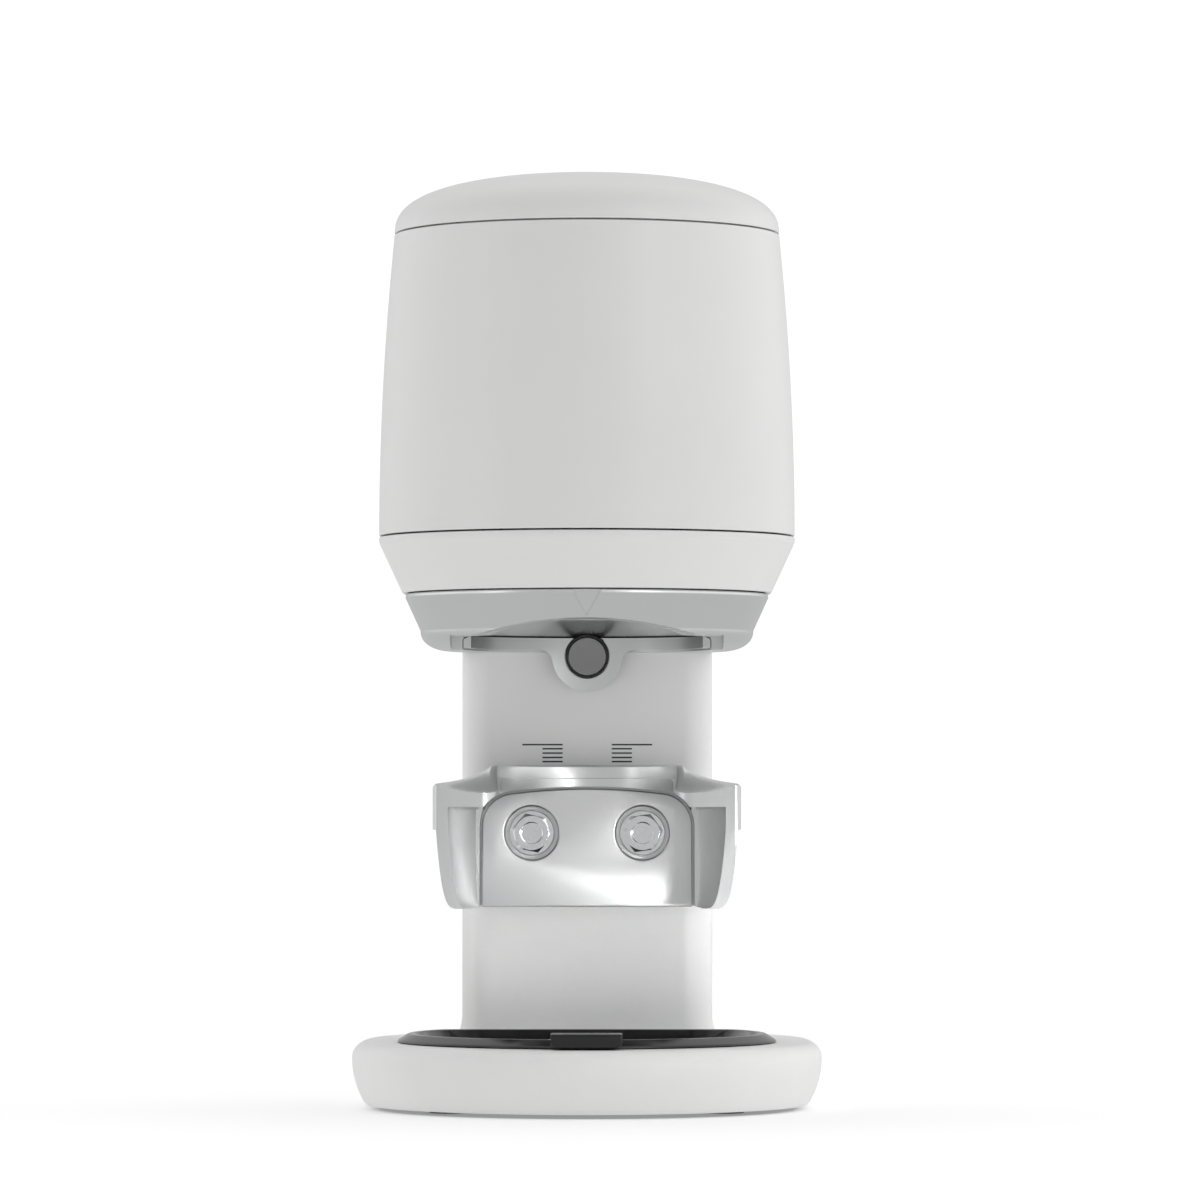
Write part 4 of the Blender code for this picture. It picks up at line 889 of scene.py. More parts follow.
@dataclass
class LowerHousing:
    """The cast bowl under the head, its bore for the portafilter, and the button in the back wall."""

    plan: HeadPlan = field(default_factory=lambda: HeadPlan(steps=224))
    low: float = 164.5 * mm
    low_radius: float = 49.5 * mm
    knee: float = 171.0 * mm
    knee_radius: float = 59.8 * mm
    top: float = 184.4 * mm
    top_radius: float = 65.3 * mm
    floor: float = 179.4 * mm
    turret_radius: float = 36.0 * mm
    turret_top: float = 188.2 * mm
    bay_radius: float = 44.7 * mm
    crease: float = 168.5 * mm
    well_radius: float = 30.5 * mm
    well_low: float = 175.8 * mm
    well_top: float = 183.4 * mm
    rod_hole: float = 11.6 * mm
    mouth_width: float = 97.0 * mm
    mouth_top: float = 169.0 * mm
    arch_width: float = 77.0 * mm
    arch_top: float = 174.5 * mm
    column_half: float = 46.3 * mm
    column_front: float = 46.7 * mm
    shoulder_round: float = 2 / 2.15
    bracket_wall: float = 2.7 * mm
    bracket_low: float = 165.2 * mm
    button_z: float = 162.9 * mm
    tongue_radius: float = 12.8 * mm
    tongue_fillet: float = 4.5 * mm
    bezel_radius: float = 7.9 * mm
    bezel_wall: float = 0.7 * mm
    badge_half: float = 6.0 * mm
    badge_drop: float = 8.2 * mm
    badge_deep: float = 0.5 * mm

    def shoulder(self) -> np.ndarray:
        """The bowl's profile, from its low lip over a round shoulder and up the lean to its rim."""
        lip = self.low_radius
        reach = self.knee_radius - lip
        turns = np.radians(np.linspace(0, 90, 20))
        curve = np.stack(
            [
                lip + 1.2 * mm + (reach - 1.2 * mm) * np.sin(turns) ** self.shoulder_round,
                self.low + (self.knee - self.low) * (1 - np.cos(turns) ** self.shoulder_round),
            ],
            axis=1,
        )
        rim = eased(
            [
                (self.knee_radius, self.knee, 0),
                (self.knee_radius + 0.05 * mm, self.knee + 0.3 * mm, 0),
                (self.top_radius, self.top - 1.2 * mm, 0.6 * mm),
                (self.top_radius - 0.4 * mm, self.top, 0.5 * mm),
                (self.top_radius - 3.5 * mm, self.top, 0.3 * mm),
                (self.top_radius - 4.5 * mm, self.floor, 0),
            ],
            False,
            5,
        )
        return np.vstack([curve, rim[1:]])

    def bay(self) -> bpy.types.Object:
        """The space over the portafilter: a bore, a closing cone, the tamper's well and the rod's hole."""
        profile = eased(
            [
                (TIP, self.turret_top + 5 * mm, 0),
                (self.rod_hole, self.turret_top + 5 * mm, 0),
                (self.rod_hole, self.well_top, 0),
                (self.well_radius, self.well_top, 0),
                (self.well_radius, self.well_low, 0.6 * mm),
                (self.bay_radius, self.crease, 0.8 * mm),
                (self.bay_radius, self.low - 5 * mm, 0),
                (TIP, self.low - 5 * mm, 0),
            ],
            False,
            5,
        )
        return lathe("bay_cutter", profile, Vector((0, AXIS_Y, 0)), "Z", 160, "caps")

    def arch(self) -> bpy.types.Object:
        """A shallow circular arch over the mouth: half width w and rise s give radius (w^2 + s^2) / 2s."""
        rise = self.arch_top - self.mouth_top
        sweep = ((self.arch_width / 2) ** 2 + rise**2) / (2 * rise)
        lean = math.degrees(math.asin(self.arch_width / 2 / sweep))
        crown = arc((0, self.arch_top - sweep), sweep, 90 - lean, 90 + lean, 49)
        low = self.mouth_top - 2 * mm
        outline = np.vstack([crown, [(-self.arch_width / 2, low)], [(self.arch_width / 2, low)]])
        return prism("arch_cutter", outline, AXIS_Y - 80 * mm, AXIS_Y - 27 * mm)

    def badge(self) -> bpy.types.Object:
        """A shallow three-sided facet under the rim, whose floor leans in towards its point."""
        lean = (self.top_radius - self.knee_radius) / (self.top - self.knee)
        high = self.top + 1 * mm
        point = self.top - 1.2 * mm - self.badge_drop

        def depth(z: float) -> float:
            """How far in front of the axis the bowl's skin lies at a height."""
            return self.knee_radius + lean * (z - self.knee)

        triangle = np.array([(-self.badge_half, high), (self.badge_half, high), (0, point)])
        far = [(x, AXIS_Y - depth(z) - 6 * mm, z) for x, z in triangle]
        floor = [(x, AXIS_Y - depth(z) + self.badge_deep, z) for x, z in triangle]
        return skin("badge_cutter", np.array([far, floor]), "caps")

    def hole(self, steps: int) -> bpy.types.Object:
        """The cutter for the button's hole."""
        centre = Vector((0, AXIS_Y, self.button_z))
        return bore("button_cutter", self.bezel_radius + GAP, 30 * mm, 60 * mm, centre, steps)

    def bowl(self) -> bpy.types.Object:
        """The bowl and its turret, bored, notched for the column and opened in front."""
        rings = self.plan.rings(self.shoulder())
        turn = np.linspace(0, 2 * math.pi, self.plan.steps, endpoint=False)
        turret = self.turret_radius * np.stack([np.cos(turn), np.sin(turn)], axis=1)
        stack = np.concatenate([rings, [level(turret, self.floor), level(turret, self.turret_top)]])
        bowl = skin("bowl_casting", stack, "caps")
        far = AXIS_Y - 90 * mm
        mouth = cuboid(
            "mouth_cutter",
            (-self.mouth_width / 2, far, self.low - 5 * mm),
            (self.mouth_width / 2, AXIS_Y, self.mouth_top),
        )
        notch = cuboid(
            "notch_cutter",
            (-self.column_half, AXIS_Y + self.column_front, self.low - 5 * mm),
            (self.column_half, AXIS_Y + 110 * mm, self.turret_top + 5 * mm),
        )
        shape_with(bowl, [self.bay(), mouth, self.arch(), notch, self.hole(64), self.badge()])
        crisp(bowl, 30.0)
        soften(bowl, 0.35 * mm, 2, 38.0)
        return bowl

    def tongue(self, radius: float, fillet: float, crest: float, half: float) -> np.ndarray:
        """A straight band that dips into a round tongue about the button, with a fillet on either side."""
        low = self.bracket_low
        drop = low - fillet - self.button_z
        reach = math.sqrt((radius + fillet) ** 2 - drop**2)
        turn = math.degrees(math.atan2(drop, reach))
        right = arc((reach, low - fillet), fillet, 90, 180 + turn, 14)
        bottom = arc((0, self.button_z), radius, turn, -180 - turn, 60)
        left = (right * (-1, 1))[::-1]
        flats = np.linspace(half, right[0, 0], 30)[:-1]
        return np.vstack(
            [
                [(half, crest)],
                np.column_stack([flats, np.full(len(flats), low)]),
                right,
                bottom[1:-1],
                left,
                np.column_stack([-flats[::-1], np.full(len(flats), low)]),
                [(-half, crest)],
            ]
        )

    def bracket(self) -> bpy.types.Object:
        """The liner of the bore's back wall with its tongue: a ring trimmed by the tongue's outline."""
        outer = self.bay_radius - GAP
        crest = self.crease - GAP
        inner = outer - self.bracket_wall
        foot = self.button_z - 17 * mm
        slope = (self.well_low - self.crease) / (self.bay_radius - self.well_radius)
        ring = lathe(
            "bracket_liner",
            np.array(
                [(outer, crest), (outer, foot), (inner, foot), (inner, crest + slope * self.bracket_wall)]
            ),
            Vector((0, AXIS_Y, 0)),
            "Z",
            256,
        )
        top, width = crest + 3 * mm, self.bay_radius + 2 * mm
        outline = self.tongue(self.tongue_radius, self.tongue_fillet, top, width)
        trim = prism("tongue_trim", outline, AXIS_Y - 1 * mm, AXIS_Y + 46.9 * mm)
        shape_with(ring, [trim], CutMode.KEEP)
        shape_with(ring, [self.hole(96)])
        crisp(ring, 30.0)
        soften(ring, 0.45 * mm, 3, 45.0)
        return ring

    def bezel(self) -> bpy.types.Object:
        """The black ring round the button, with a round front edge."""
        low, high = corners("button_bezel")
        inner = self.bezel_radius - self.bezel_wall
        profile = eased(
            [
                (self.bezel_radius, low.y - AXIS_Y, 0.3 * mm),
                (self.bezel_radius, high.y - AXIS_Y, 0.1 * mm),
                (inner, high.y - AXIS_Y, 0.1 * mm),
                (inner, low.y - AXIS_Y, 0.3 * mm),
            ],
            True,
            5,
        )
        return lathe("bezel_ring", profile, Vector((0, AXIS_Y, self.button_z)), "Y", 96)

    def button(self) -> bpy.types.Object:
        """The button: a faintly dished face inside a round rim."""
        low, high = corners("start_button")
        front = low.y - AXIS_Y
        back = high.y - AXIS_Y
        radius = (high.x - low.x) / 2
        flat = radius - 0.8 * mm
        across = np.linspace(0.02, 1, 14)[:-1] * flat
        dish = np.stack([across, front + 0.28 * mm * (1 - (across / flat) ** 2)], axis=1)
        rim = eased(
            [
                (flat, front, 0.2 * mm),
                (radius, front, 0.35 * mm),
                (radius, back, 0.1 * mm),
                (2 * TIP, back, 0),
            ],
            False,
            6,
        )
        centre = Vector((0, AXIS_Y, self.button_z))
        return lathe("button_cap", np.vstack([dish, rim[1:]]), centre, "Y", 96, "caps")

    def build(self) -> None:
        """Makes the bowl, the bracket and the button's two pieces."""
        settle(self.bowl(), Look.SILVER, "silver_cast", "stand", "lower_housing")
        settle(self.bracket(), Look.SILVER, "silver_cast", "stand", "bay_bracket")
        settle(self.bezel(), Look.BLACK_MOULDING, "black_plastic", "stand", "button_bezel")
        settle(self.button(), Look.BUTTON_GREY, "button_grey", "start", "start_button")


# Base and tray ----------------------------------------------------------------------------------


@dataclass
class Base:
    """The broad white base, its underside and its feet."""

    reach: float = 84.2 * mm
    back: float = 100.2 * mm
    top: float = 23.7 * mm
    under: float = 1.5 * mm
    foot_inset: float = 4.9 * mm
    rim_drop: float = 6.0 * mm
    rim_round: float = 5.0 * mm
    wall: float = 4.2 * mm
    ceiling: float = 15.0 * mm
    pocket: float = 19.6 * mm
    pocket_radius: float = 60.3 * mm

    def plan(self) -> HeadPlan:
        """The head's plan with this piece's own reach behind the axis."""
        return HeadPlan(ratio=self.back / self.reach, steps=288)

    def casting(self) -> bpy.types.Object:
        """The base: side radius R - c (h - z)^2 below h, then a quarter round to a flat top."""
        knee = self.top - self.rim_drop
        tilt = self.foot_inset / (knee - self.under) ** 2
        heights = np.linspace(self.under + 0.9 * mm, knee, 26)
        side = np.stack([self.reach - tilt * (knee - heights) ** 2, heights], axis=1)
        lean = self.reach - self.foot_inset
        foot = arc((lean - 0.8 * mm, self.under + 0.9 * mm), 0.9 * mm, -90, -8, 6)
        rim = arc((self.reach - self.rim_round, self.top - self.rim_round), self.rim_round, 0, 90, 16)
        hollow = lean - self.wall
        base = skin("base_shell", self.plan().rings(np.vstack([foot, side, rim])), "caps")
        inside = skin(
            "hollow_cutter",
            self.plan().rings(np.array([(hollow, self.under - 5 * mm), (hollow, self.ceiling)])),
            "caps",
        )
        wall = [(self.pocket_radius, self.pocket), (self.pocket_radius, self.top + PAST)]
        dish = Tray().rings(np.array(wall))
        slot_low, slot_high = corners("column_spine")
        slot = cuboid(
            "slot_cutter",
            (slot_low.x - 2 * mm, slot_low.y - 2 * mm, self.ceiling - 5 * mm),
            (slot_high.x + 2 * mm, slot_high.y + 2 * mm, self.top + 5 * mm),
        )
        shape_with(base, [inside, skin("dish_cutter", dish, "caps"), slot])
        crisp(base)
        return base

    def foot(self, number: int) -> bpy.types.Object:
        """A rubber foot: a soft-edged disc with a shallow ring pressed into its underside."""
        low, high = corners(f"foot_{number}")
        radius = (high.x - low.x) / 2
        ring = 0.5 * mm
        profile = eased(
            [
                (TIP, high.z, 0),
                (radius - 1 * mm, high.z, 0.2 * mm),
                (radius, 0.9 * mm, 0.3 * mm),
                (radius - 0.6 * mm, 0, 0.3 * mm),
                (radius - 2.5 * mm, 0, 0.2 * mm),
                (radius - 3.2 * mm, ring, 0.2 * mm),
                (radius - 4.4 * mm, ring, 0.2 * mm),
                (radius - 5.0 * mm, 0, 0.2 * mm),
                (TIP, 0, 0),
            ],
            False,
        )
        place = (low + high) / 2
        return lathe(f"rubber_foot_{number}", profile, Vector((place.x, place.y, 0)), "Z", 48, "caps")

    def build(self) -> None:
        """Makes the casting and the feet."""
        settle(self.casting(), Look.WHITE_BODY, "body_paint", "stand", "base_casting")
        for number in range(1, 5):
            settle(self.foot(number), Look.RUBBER, "rubber", "stand", f"foot_{number}")


@dataclass
class Tray:
    """The black tray that drops into the base in front of the column, with a tab to lift it by."""

    radius: float = 68.0 * mm
    back: float = 40.0 * mm
    slope: float = 4.0 * mm
    rim: float = 2.0 * mm
    body: float = 60.0 * mm
    low: float = 19.9 * mm
    seat: float = 24.0 * mm
    top: float = 27.0 * mm
    floor: float = 21.5 * mm
    steps: int = 320
    corner: float = 34.0
    tab_half: float = 12.5 * mm
    tab_reach: float = 76.0 * mm
    tab_top: float = 29.3 * mm
    ridges: int = 5
    ridge_half: float = 8.0 * mm

    def rings(self, profile: np.ndarray) -> np.ndarray:
        """Circles with a straight back: r(a) = (1/R^n + (sin a / b)^n)^(-1/n) behind the axis, else R."""
        turn = np.linspace(0, 2 * math.pi, self.steps, endpoint=False)
        rows = []
        for radius, z in profile:
            back = self.back - (self.radius - radius)
            lean = np.maximum(np.sin(turn), 0.0) / back
            reach = ((1 / radius) ** self.corner + lean**self.corner) ** (-1 / self.corner)
            rows.append(level(np.stack([reach * np.cos(turn), reach * np.sin(turn)], axis=1), z))
        return np.stack(rows)

    def tab(self) -> bpy.types.Object:
        """The lifting tab: a thick tongue with well rounded lower corners."""
        rear = self.radius - self.slope - self.rim - 0.7 * mm
        half, low = self.tab_half, self.seat + 0.4 * mm
        top = self.tab_top
        outline = eased(
            [(-half, top, 0.5 * mm), (-half, low, 2.6 * mm), (half, low, 2.6 * mm), (half, top, 0.5 * mm)],
            True,
            8,
        )
        return slab("tab_cutter", outline, AXIS_Y - self.tab_reach + 0.6 * mm, AXIS_Y - rear, 0.6 * mm)

    def dish(self) -> bpy.types.Object:
        """The tray: seat, sloped flank, rim and dished floor, with the tab joined on and its grip cut."""
        inner = self.radius - self.slope - self.rim
        profile = eased(
            [
                (self.body - 6 * mm, self.low, 0.3 * mm),
                (self.body, self.low + 0.6 * mm, 0.5 * mm),
                (self.body, self.seat, 0.2 * mm),
                (self.radius, self.seat, 0.25 * mm),
                (self.radius - 0.3 * mm, self.seat + 0.7 * mm, 0.4 * mm),
                (self.radius - self.slope, self.top, 0.7 * mm),
                (inner, self.top, 0.6 * mm),
                (self.body - 3 * mm, self.floor + 1 * mm, 1.6 * mm),
                (self.body - 7 * mm, self.floor, 1.6 * mm),
            ],
            False,
            6,
        )
        tray = skin("drip_tray", self.rings(profile), "caps")
        shape_with(tray, [self.tab()], CutMode.JOIN)
        grooves = []
        for index in range(self.ridges):
            y = AXIS_Y - self.tab_reach + 2.6 * mm + index * 1.7 * mm
            low = (-self.ridge_half, y, self.tab_top - 0.35 * mm)
            high = (self.ridge_half, y + 0.7 * mm, self.tab_top + 1 * mm)
            grooves.append(cuboid("grip_cutter", low, high))
        shape_with(tray, grooves)
        crisp(tray)
        return tray

    def build(self) -> None:
        """Makes the tray."""
        settle(self.dish(), Look.TRAY_BLACK, "tray_gloss", "tray", "tamping_tray")


# Column -----------------------------------------------------------------------------------------


@dataclass
class Column:
    """The white post with its height marks, its rear cover, the power socket and the switch."""

    width: float = 92.0 * mm
    front: float = 47.0 * mm
    back: float = 79.0 * mm
    wall: float = 3.2 * mm
    front_round: float = 11.0 * mm
    back_round: float = 14.0 * mm
    low: float = 24.0 * mm
    top: float = 188.2 * mm
    flare: float = 1.6 * mm
    flare_rise: float = 8.0 * mm
    window_half: float = 29.0 * mm
    window_low: float = 36.0 * mm
    window_high: float = 150.0 * mm
    bolt_x: float = 20.2 * mm
    slot_low: float = 94.4 * mm
    slot_high: float = 106.4 * mm
    slot_half: float = 4.3 * mm
    mark_high: float = 130.7 * mm
    mark_inner: float = 9.0 * mm
    mark_long: float = 14.8 * mm
    mark_short: float = 7.4 * mm
    mark_thick: float = 0.55 * mm
    screw_x: float = 24.0 * mm
    screw_low: float = 42.0 * mm
    screw_high: float = 144.0 * mm

    def outline(self, inset: float = 0.0, grow: float = 0.0) -> np.ndarray:
        """The post's plan: a flat front between round corners, rounder corners behind."""
        half = self.width / 2 - inset + grow
        front = self.front + inset - grow
        back = self.back - inset + grow
        soft = self.back_round - inset + grow
        sharp = self.front_round - inset + grow
        return np.vstack(
            [
                arc((half - soft, back - soft), soft, 0, 90, 20),
                arc((soft - half, back - soft), soft, 90, 180, 20),
                arc((sharp - half, front + sharp), sharp, 180, 270, 20),
                arc((half - sharp, front + sharp), sharp, 270, 360, 20),
            ]
        )

    def shell(self) -> bpy.types.Object:
        """The post: its skin spreads by f (1 - h/H)^2 over the last stretch to the base."""
        rise = np.linspace(0, self.flare_rise, 12)
        spreads = self.flare * (1 - rise / self.flare_rise) ** 2
        rings = [level(self.outline(self.wall), self.low)]
        rings += [level(self.outline(0, grow), self.low + up) for grow, up in zip(spreads, rise)]
        rings += [level(self.outline(), self.top), level(self.outline(self.wall), self.top)]
        post = skin("post_shell", np.stack(rings), "loop")
        window = slab(
            "window_cutter",
            rounded_rectangle(-self.window_half, self.window_half, self.window_low, self.window_high, 3 * mm),
            AXIS_Y + self.back - 2 * self.wall,
            AXIS_Y + self.back + PAST,
        )
        helpers = [window]
        reach = self.slot_half
        low, high = self.slot_low - reach, self.slot_high + reach
        front = AXIS_Y + self.front
        for side in (-1, 1):
            x = side * self.bolt_x
            outline = rounded_rectangle(x - reach, x + reach, low, high, reach - TIP)
            helpers.append(slab("slot_cutter", outline, front - 3 * mm, front + 2 * self.wall))
        shape_with(post, helpers)
        crisp(post)
        return post

    def marks(self, side: int, word: str) -> bpy.types.Object:
        """Five printed bars, one long and four short, as thin slabs on the post's flat front."""
        tops = self.mark_high - np.array([0, 1.5, 3.1, 4.7, 6.2]) * mm
        longs = np.array([self.mark_long] + [self.mark_short] * 4)
        half = self.mark_thick / 2
        inner = side * self.mark_inner
        square = [(0, 0), (1, 0), (1, 1), (0, 1)]
        unit = np.array([(x, y, z) for z in (0, 1) for x, y in square], float)
        low = np.stack([np.full(5, inner), np.full(5, AXIS_Y + self.front - 0.04 * mm), tops - half], axis=1)
        size = np.stack([side * longs, np.full(5, 0.4 * mm), np.full(5, 2 * half)], axis=1)
        points = (low[:, None] + unit[None] * size[:, None]).reshape(-1, 3)
        sides = np.array([(0, 3, 2, 1), (4, 5, 6, 7), (0, 1, 5, 4), (1, 2, 6, 5), (2, 3, 7, 6), (3, 0, 4, 7)])
        faces = (sides[None] + 8 * np.arange(5)[:, None, None]).reshape(-1, 4)
        return mesh_object(f"height_marks_{word}", points, outward(points, [faces]))

    def screw_places(self) -> list[tuple[float, float]]:
        """Where the rear panel's screws stand, across and up."""
        return [(side * self.screw_x, z) for side in (-1, 1) for z in (self.screw_low, self.screw_high)]

    def rear_cover(self) -> bpy.types.Object:
        """The black panel in the rear window, with two openings."""
        low, high = corners("column_rear_cover")
        outline = rounded_rectangle(low.x, high.x, low.z, high.z, 2.7 * mm)
        panel = slab("rear_panel", outline, low.y, high.y, 0.5 * mm)
        helpers = []
        for node in ("power_inlet", "switch_housing"):
            near, far = corners(node)
            grow = Vector((GAP, 10 * mm, GAP))
            helpers.append(cuboid("panel_cutter", tuple(near - grow), tuple(far + grow)))
        pit = np.array([(TIP, -0.9 * mm), (2.6 * mm, -0.9 * mm), (3.1 * mm, 2 * mm), (TIP, 2 * mm)])
        for x, z in self.screw_places():
            helpers.append(lathe("pit_cutter", pit, Vector((x, high.y, z)), "Y", 32, "caps"))
        shape_with(panel, helpers)
        crisp(panel)
        return panel

    def cover_screw(self, number: int, x: float, z: float) -> bpy.types.Object:
        """A pan-head screw of the rear panel, with a hexagon socket."""
        back = corners("column_rear_cover")[1].y
        profile = eased(
            [
                (TIP, -2.2 * mm, 0),
                (1.2 * mm, -2.2 * mm, 0),
                (1.2 * mm, -0.85 * mm, 0),
                (2.3 * mm, -0.85 * mm, 0.1 * mm),
                (2.3 * mm, -0.05 * mm, 0.5 * mm),
                (TIP, 0.0, 0),
            ],
            False,
        )
        screw = lathe(f"panel_screw_{number}", profile, Vector((x, back, z)), "Y", 40, "caps")
        hexagon = arc((x, z), 1.15 * mm, 0, 300, 6)
        shape_with(screw, [slab("hex_cutter", hexagon, back - 0.55 * mm, back + 1 * mm)])
        crisp(screw)
        return screw

    def inlet(self) -> bpy.types.Object:
        """The power socket: a soft-edged frame round a pocket with two cut corners."""
        low, high = corners("power_inlet")
        middle_z = (low.z + high.z) / 2
        edge = rounded_rectangle(low.x, high.x, low.z, high.z, 1.2 * mm)
        casing = slab("inlet_frame", edge, low.y, high.y, 0.35 * mm)
        wide = high.x - 2.4 * mm
        tall = high.z - middle_z - 2.4 * mm
        cut = 4.2 * mm
        pocket = eased(
            [
                (-wide, middle_z - tall, 0.8 * mm),
                (wide, middle_z - tall, 0.8 * mm),
                (wide, middle_z + tall - cut, 0.8 * mm),
                (wide - cut, middle_z + tall, 0.8 * mm),
                (cut - wide, middle_z + tall, 0.8 * mm),
                (-wide, middle_z + tall - cut, 0.8 * mm),
            ],
            True,
        )
        shape_with(casing, [slab("pocket_cutter", pocket, low.y + 2.4 * mm, high.y + PAST)])
        crisp(casing)
        return casing

    def pins(self) -> bpy.types.Object:
        """The socket's three blades, standing in its pocket."""
        low, high = corners("power_inlet")
        centre = (low.z + high.z) / 2
        blades = []
        for x, z in ((-7 * mm, -2 * mm), (0, 2.4 * mm), (7 * mm, -2 * mm)):
            foot, tip = centre + z - 2 * mm, centre + z + 2 * mm
            outline = rounded_rectangle(x - 1 * mm, x + 1 * mm, foot, tip, 0.3 * mm, 4)
            blades.append(slab("blade", outline, low.y + 2.0 * mm, high.y - 3.6 * mm, 0.3 * mm))
        pin = blades[0]
        shape = bmesh.new()
        for blade in blades:
            shape.from_mesh(blade.data)
        shape.to_mesh(pin.data)
        shape.free()
        for blade in blades[1:]:
            bpy.data.objects.remove(blade, do_unlink=True)
        pin.name = "inlet_blades"
        pin.data.name = "inlet_blades"
        crisp(pin)
        return pin

    def switch(self) -> bpy.types.Object:
        """The switch's frame with its well."""
        low, high = corners("switch_housing")
        rim = 1.5 * mm
        edge = rounded_rectangle(low.x, high.x, low.z, high.z, 1 * mm)
        housing = slab("switch_frame", edge, low.y, high.y, 0.35 * mm)
        well = rounded_rectangle(low.x + rim, high.x - rim, low.z + rim, high.z - rim, 0.4 * mm)
        shape_with(housing, [slab("well_cutter", well, low.y + rim, high.y + PAST)])
        crisp(housing)
        return housing

    def rocker(self) -> bpy.types.Object:
        """The rocker: its side profile has a hollow face, and is carried across with drawn-in ends."""
        low, high = corners("power_rocker")
        pivot_y = AXIS_Y + self.back - 3.4 * mm
        pivot_z = (low.z + high.z) / 2
        tall, deep = 5.2 * mm, 3.0 * mm
        turn = np.linspace(-1, 1, 25)
        fit = 0.985
        face_y = deep * (0.55 + 0.2 * turn + 0.55 * turn**2)
        face = np.stack([face_y, turn * tall], axis=1)
        back = [(-0.2 * deep, tall), (-deep, 0.5 * tall), (-deep, -0.5 * tall), (-0.4 * deep, -tall)]
        profile = np.vstack([face, back]) * fit
        half = (high.x - low.x) / 2
        across = half * np.array([-1, -fit, -0.95, 0.95, fit, 1])
        draw = np.array([0.95, fit, 1, 1, fit, 0.95])
        rings = []
        for x, drawn in zip(across, draw):
            side = profile * drawn + (pivot_y, pivot_z)
            rings.append(np.column_stack([np.full(len(side), x), side]))
        return skin("switch_rocker", np.stack(rings), "flat", 40.0)

    def build(self) -> None:
        """Makes the post and everything on it."""
        settle(self.shell(), Look.WHITE_BODY, "body_paint", "stand", "column_shell")
        for side, word in ((-1, "left"), (1, "right")):
            settle(self.marks(side, word), Look.PRINT, "black_plastic", "stand")
        settle(self.rear_cover(), Look.BLACK_MOULDING, "black_plastic", "stand", "column_rear_cover")
        for number, (x, z) in enumerate(self.screw_places(), 1):
            settle(self.cover_screw(number, x, z), Look.ZINC, "zinc_steel", "stand")
        settle(self.inlet(), Look.BLACK_MOULDING, "black_plastic", "stand", "power_inlet")
        settle(self.pins(), Look.ZINC, "zinc_steel", "stand")
        settle(self.switch(), Look.BLACK_MOULDING, "black_plastic", "stand", "switch_housing")
        settle(self.rocker(), Look.BLACK_MOULDING, "black_plastic", "rocker", "power_rocker")


# Portafilter fork -------------------------------------------------------------------------------


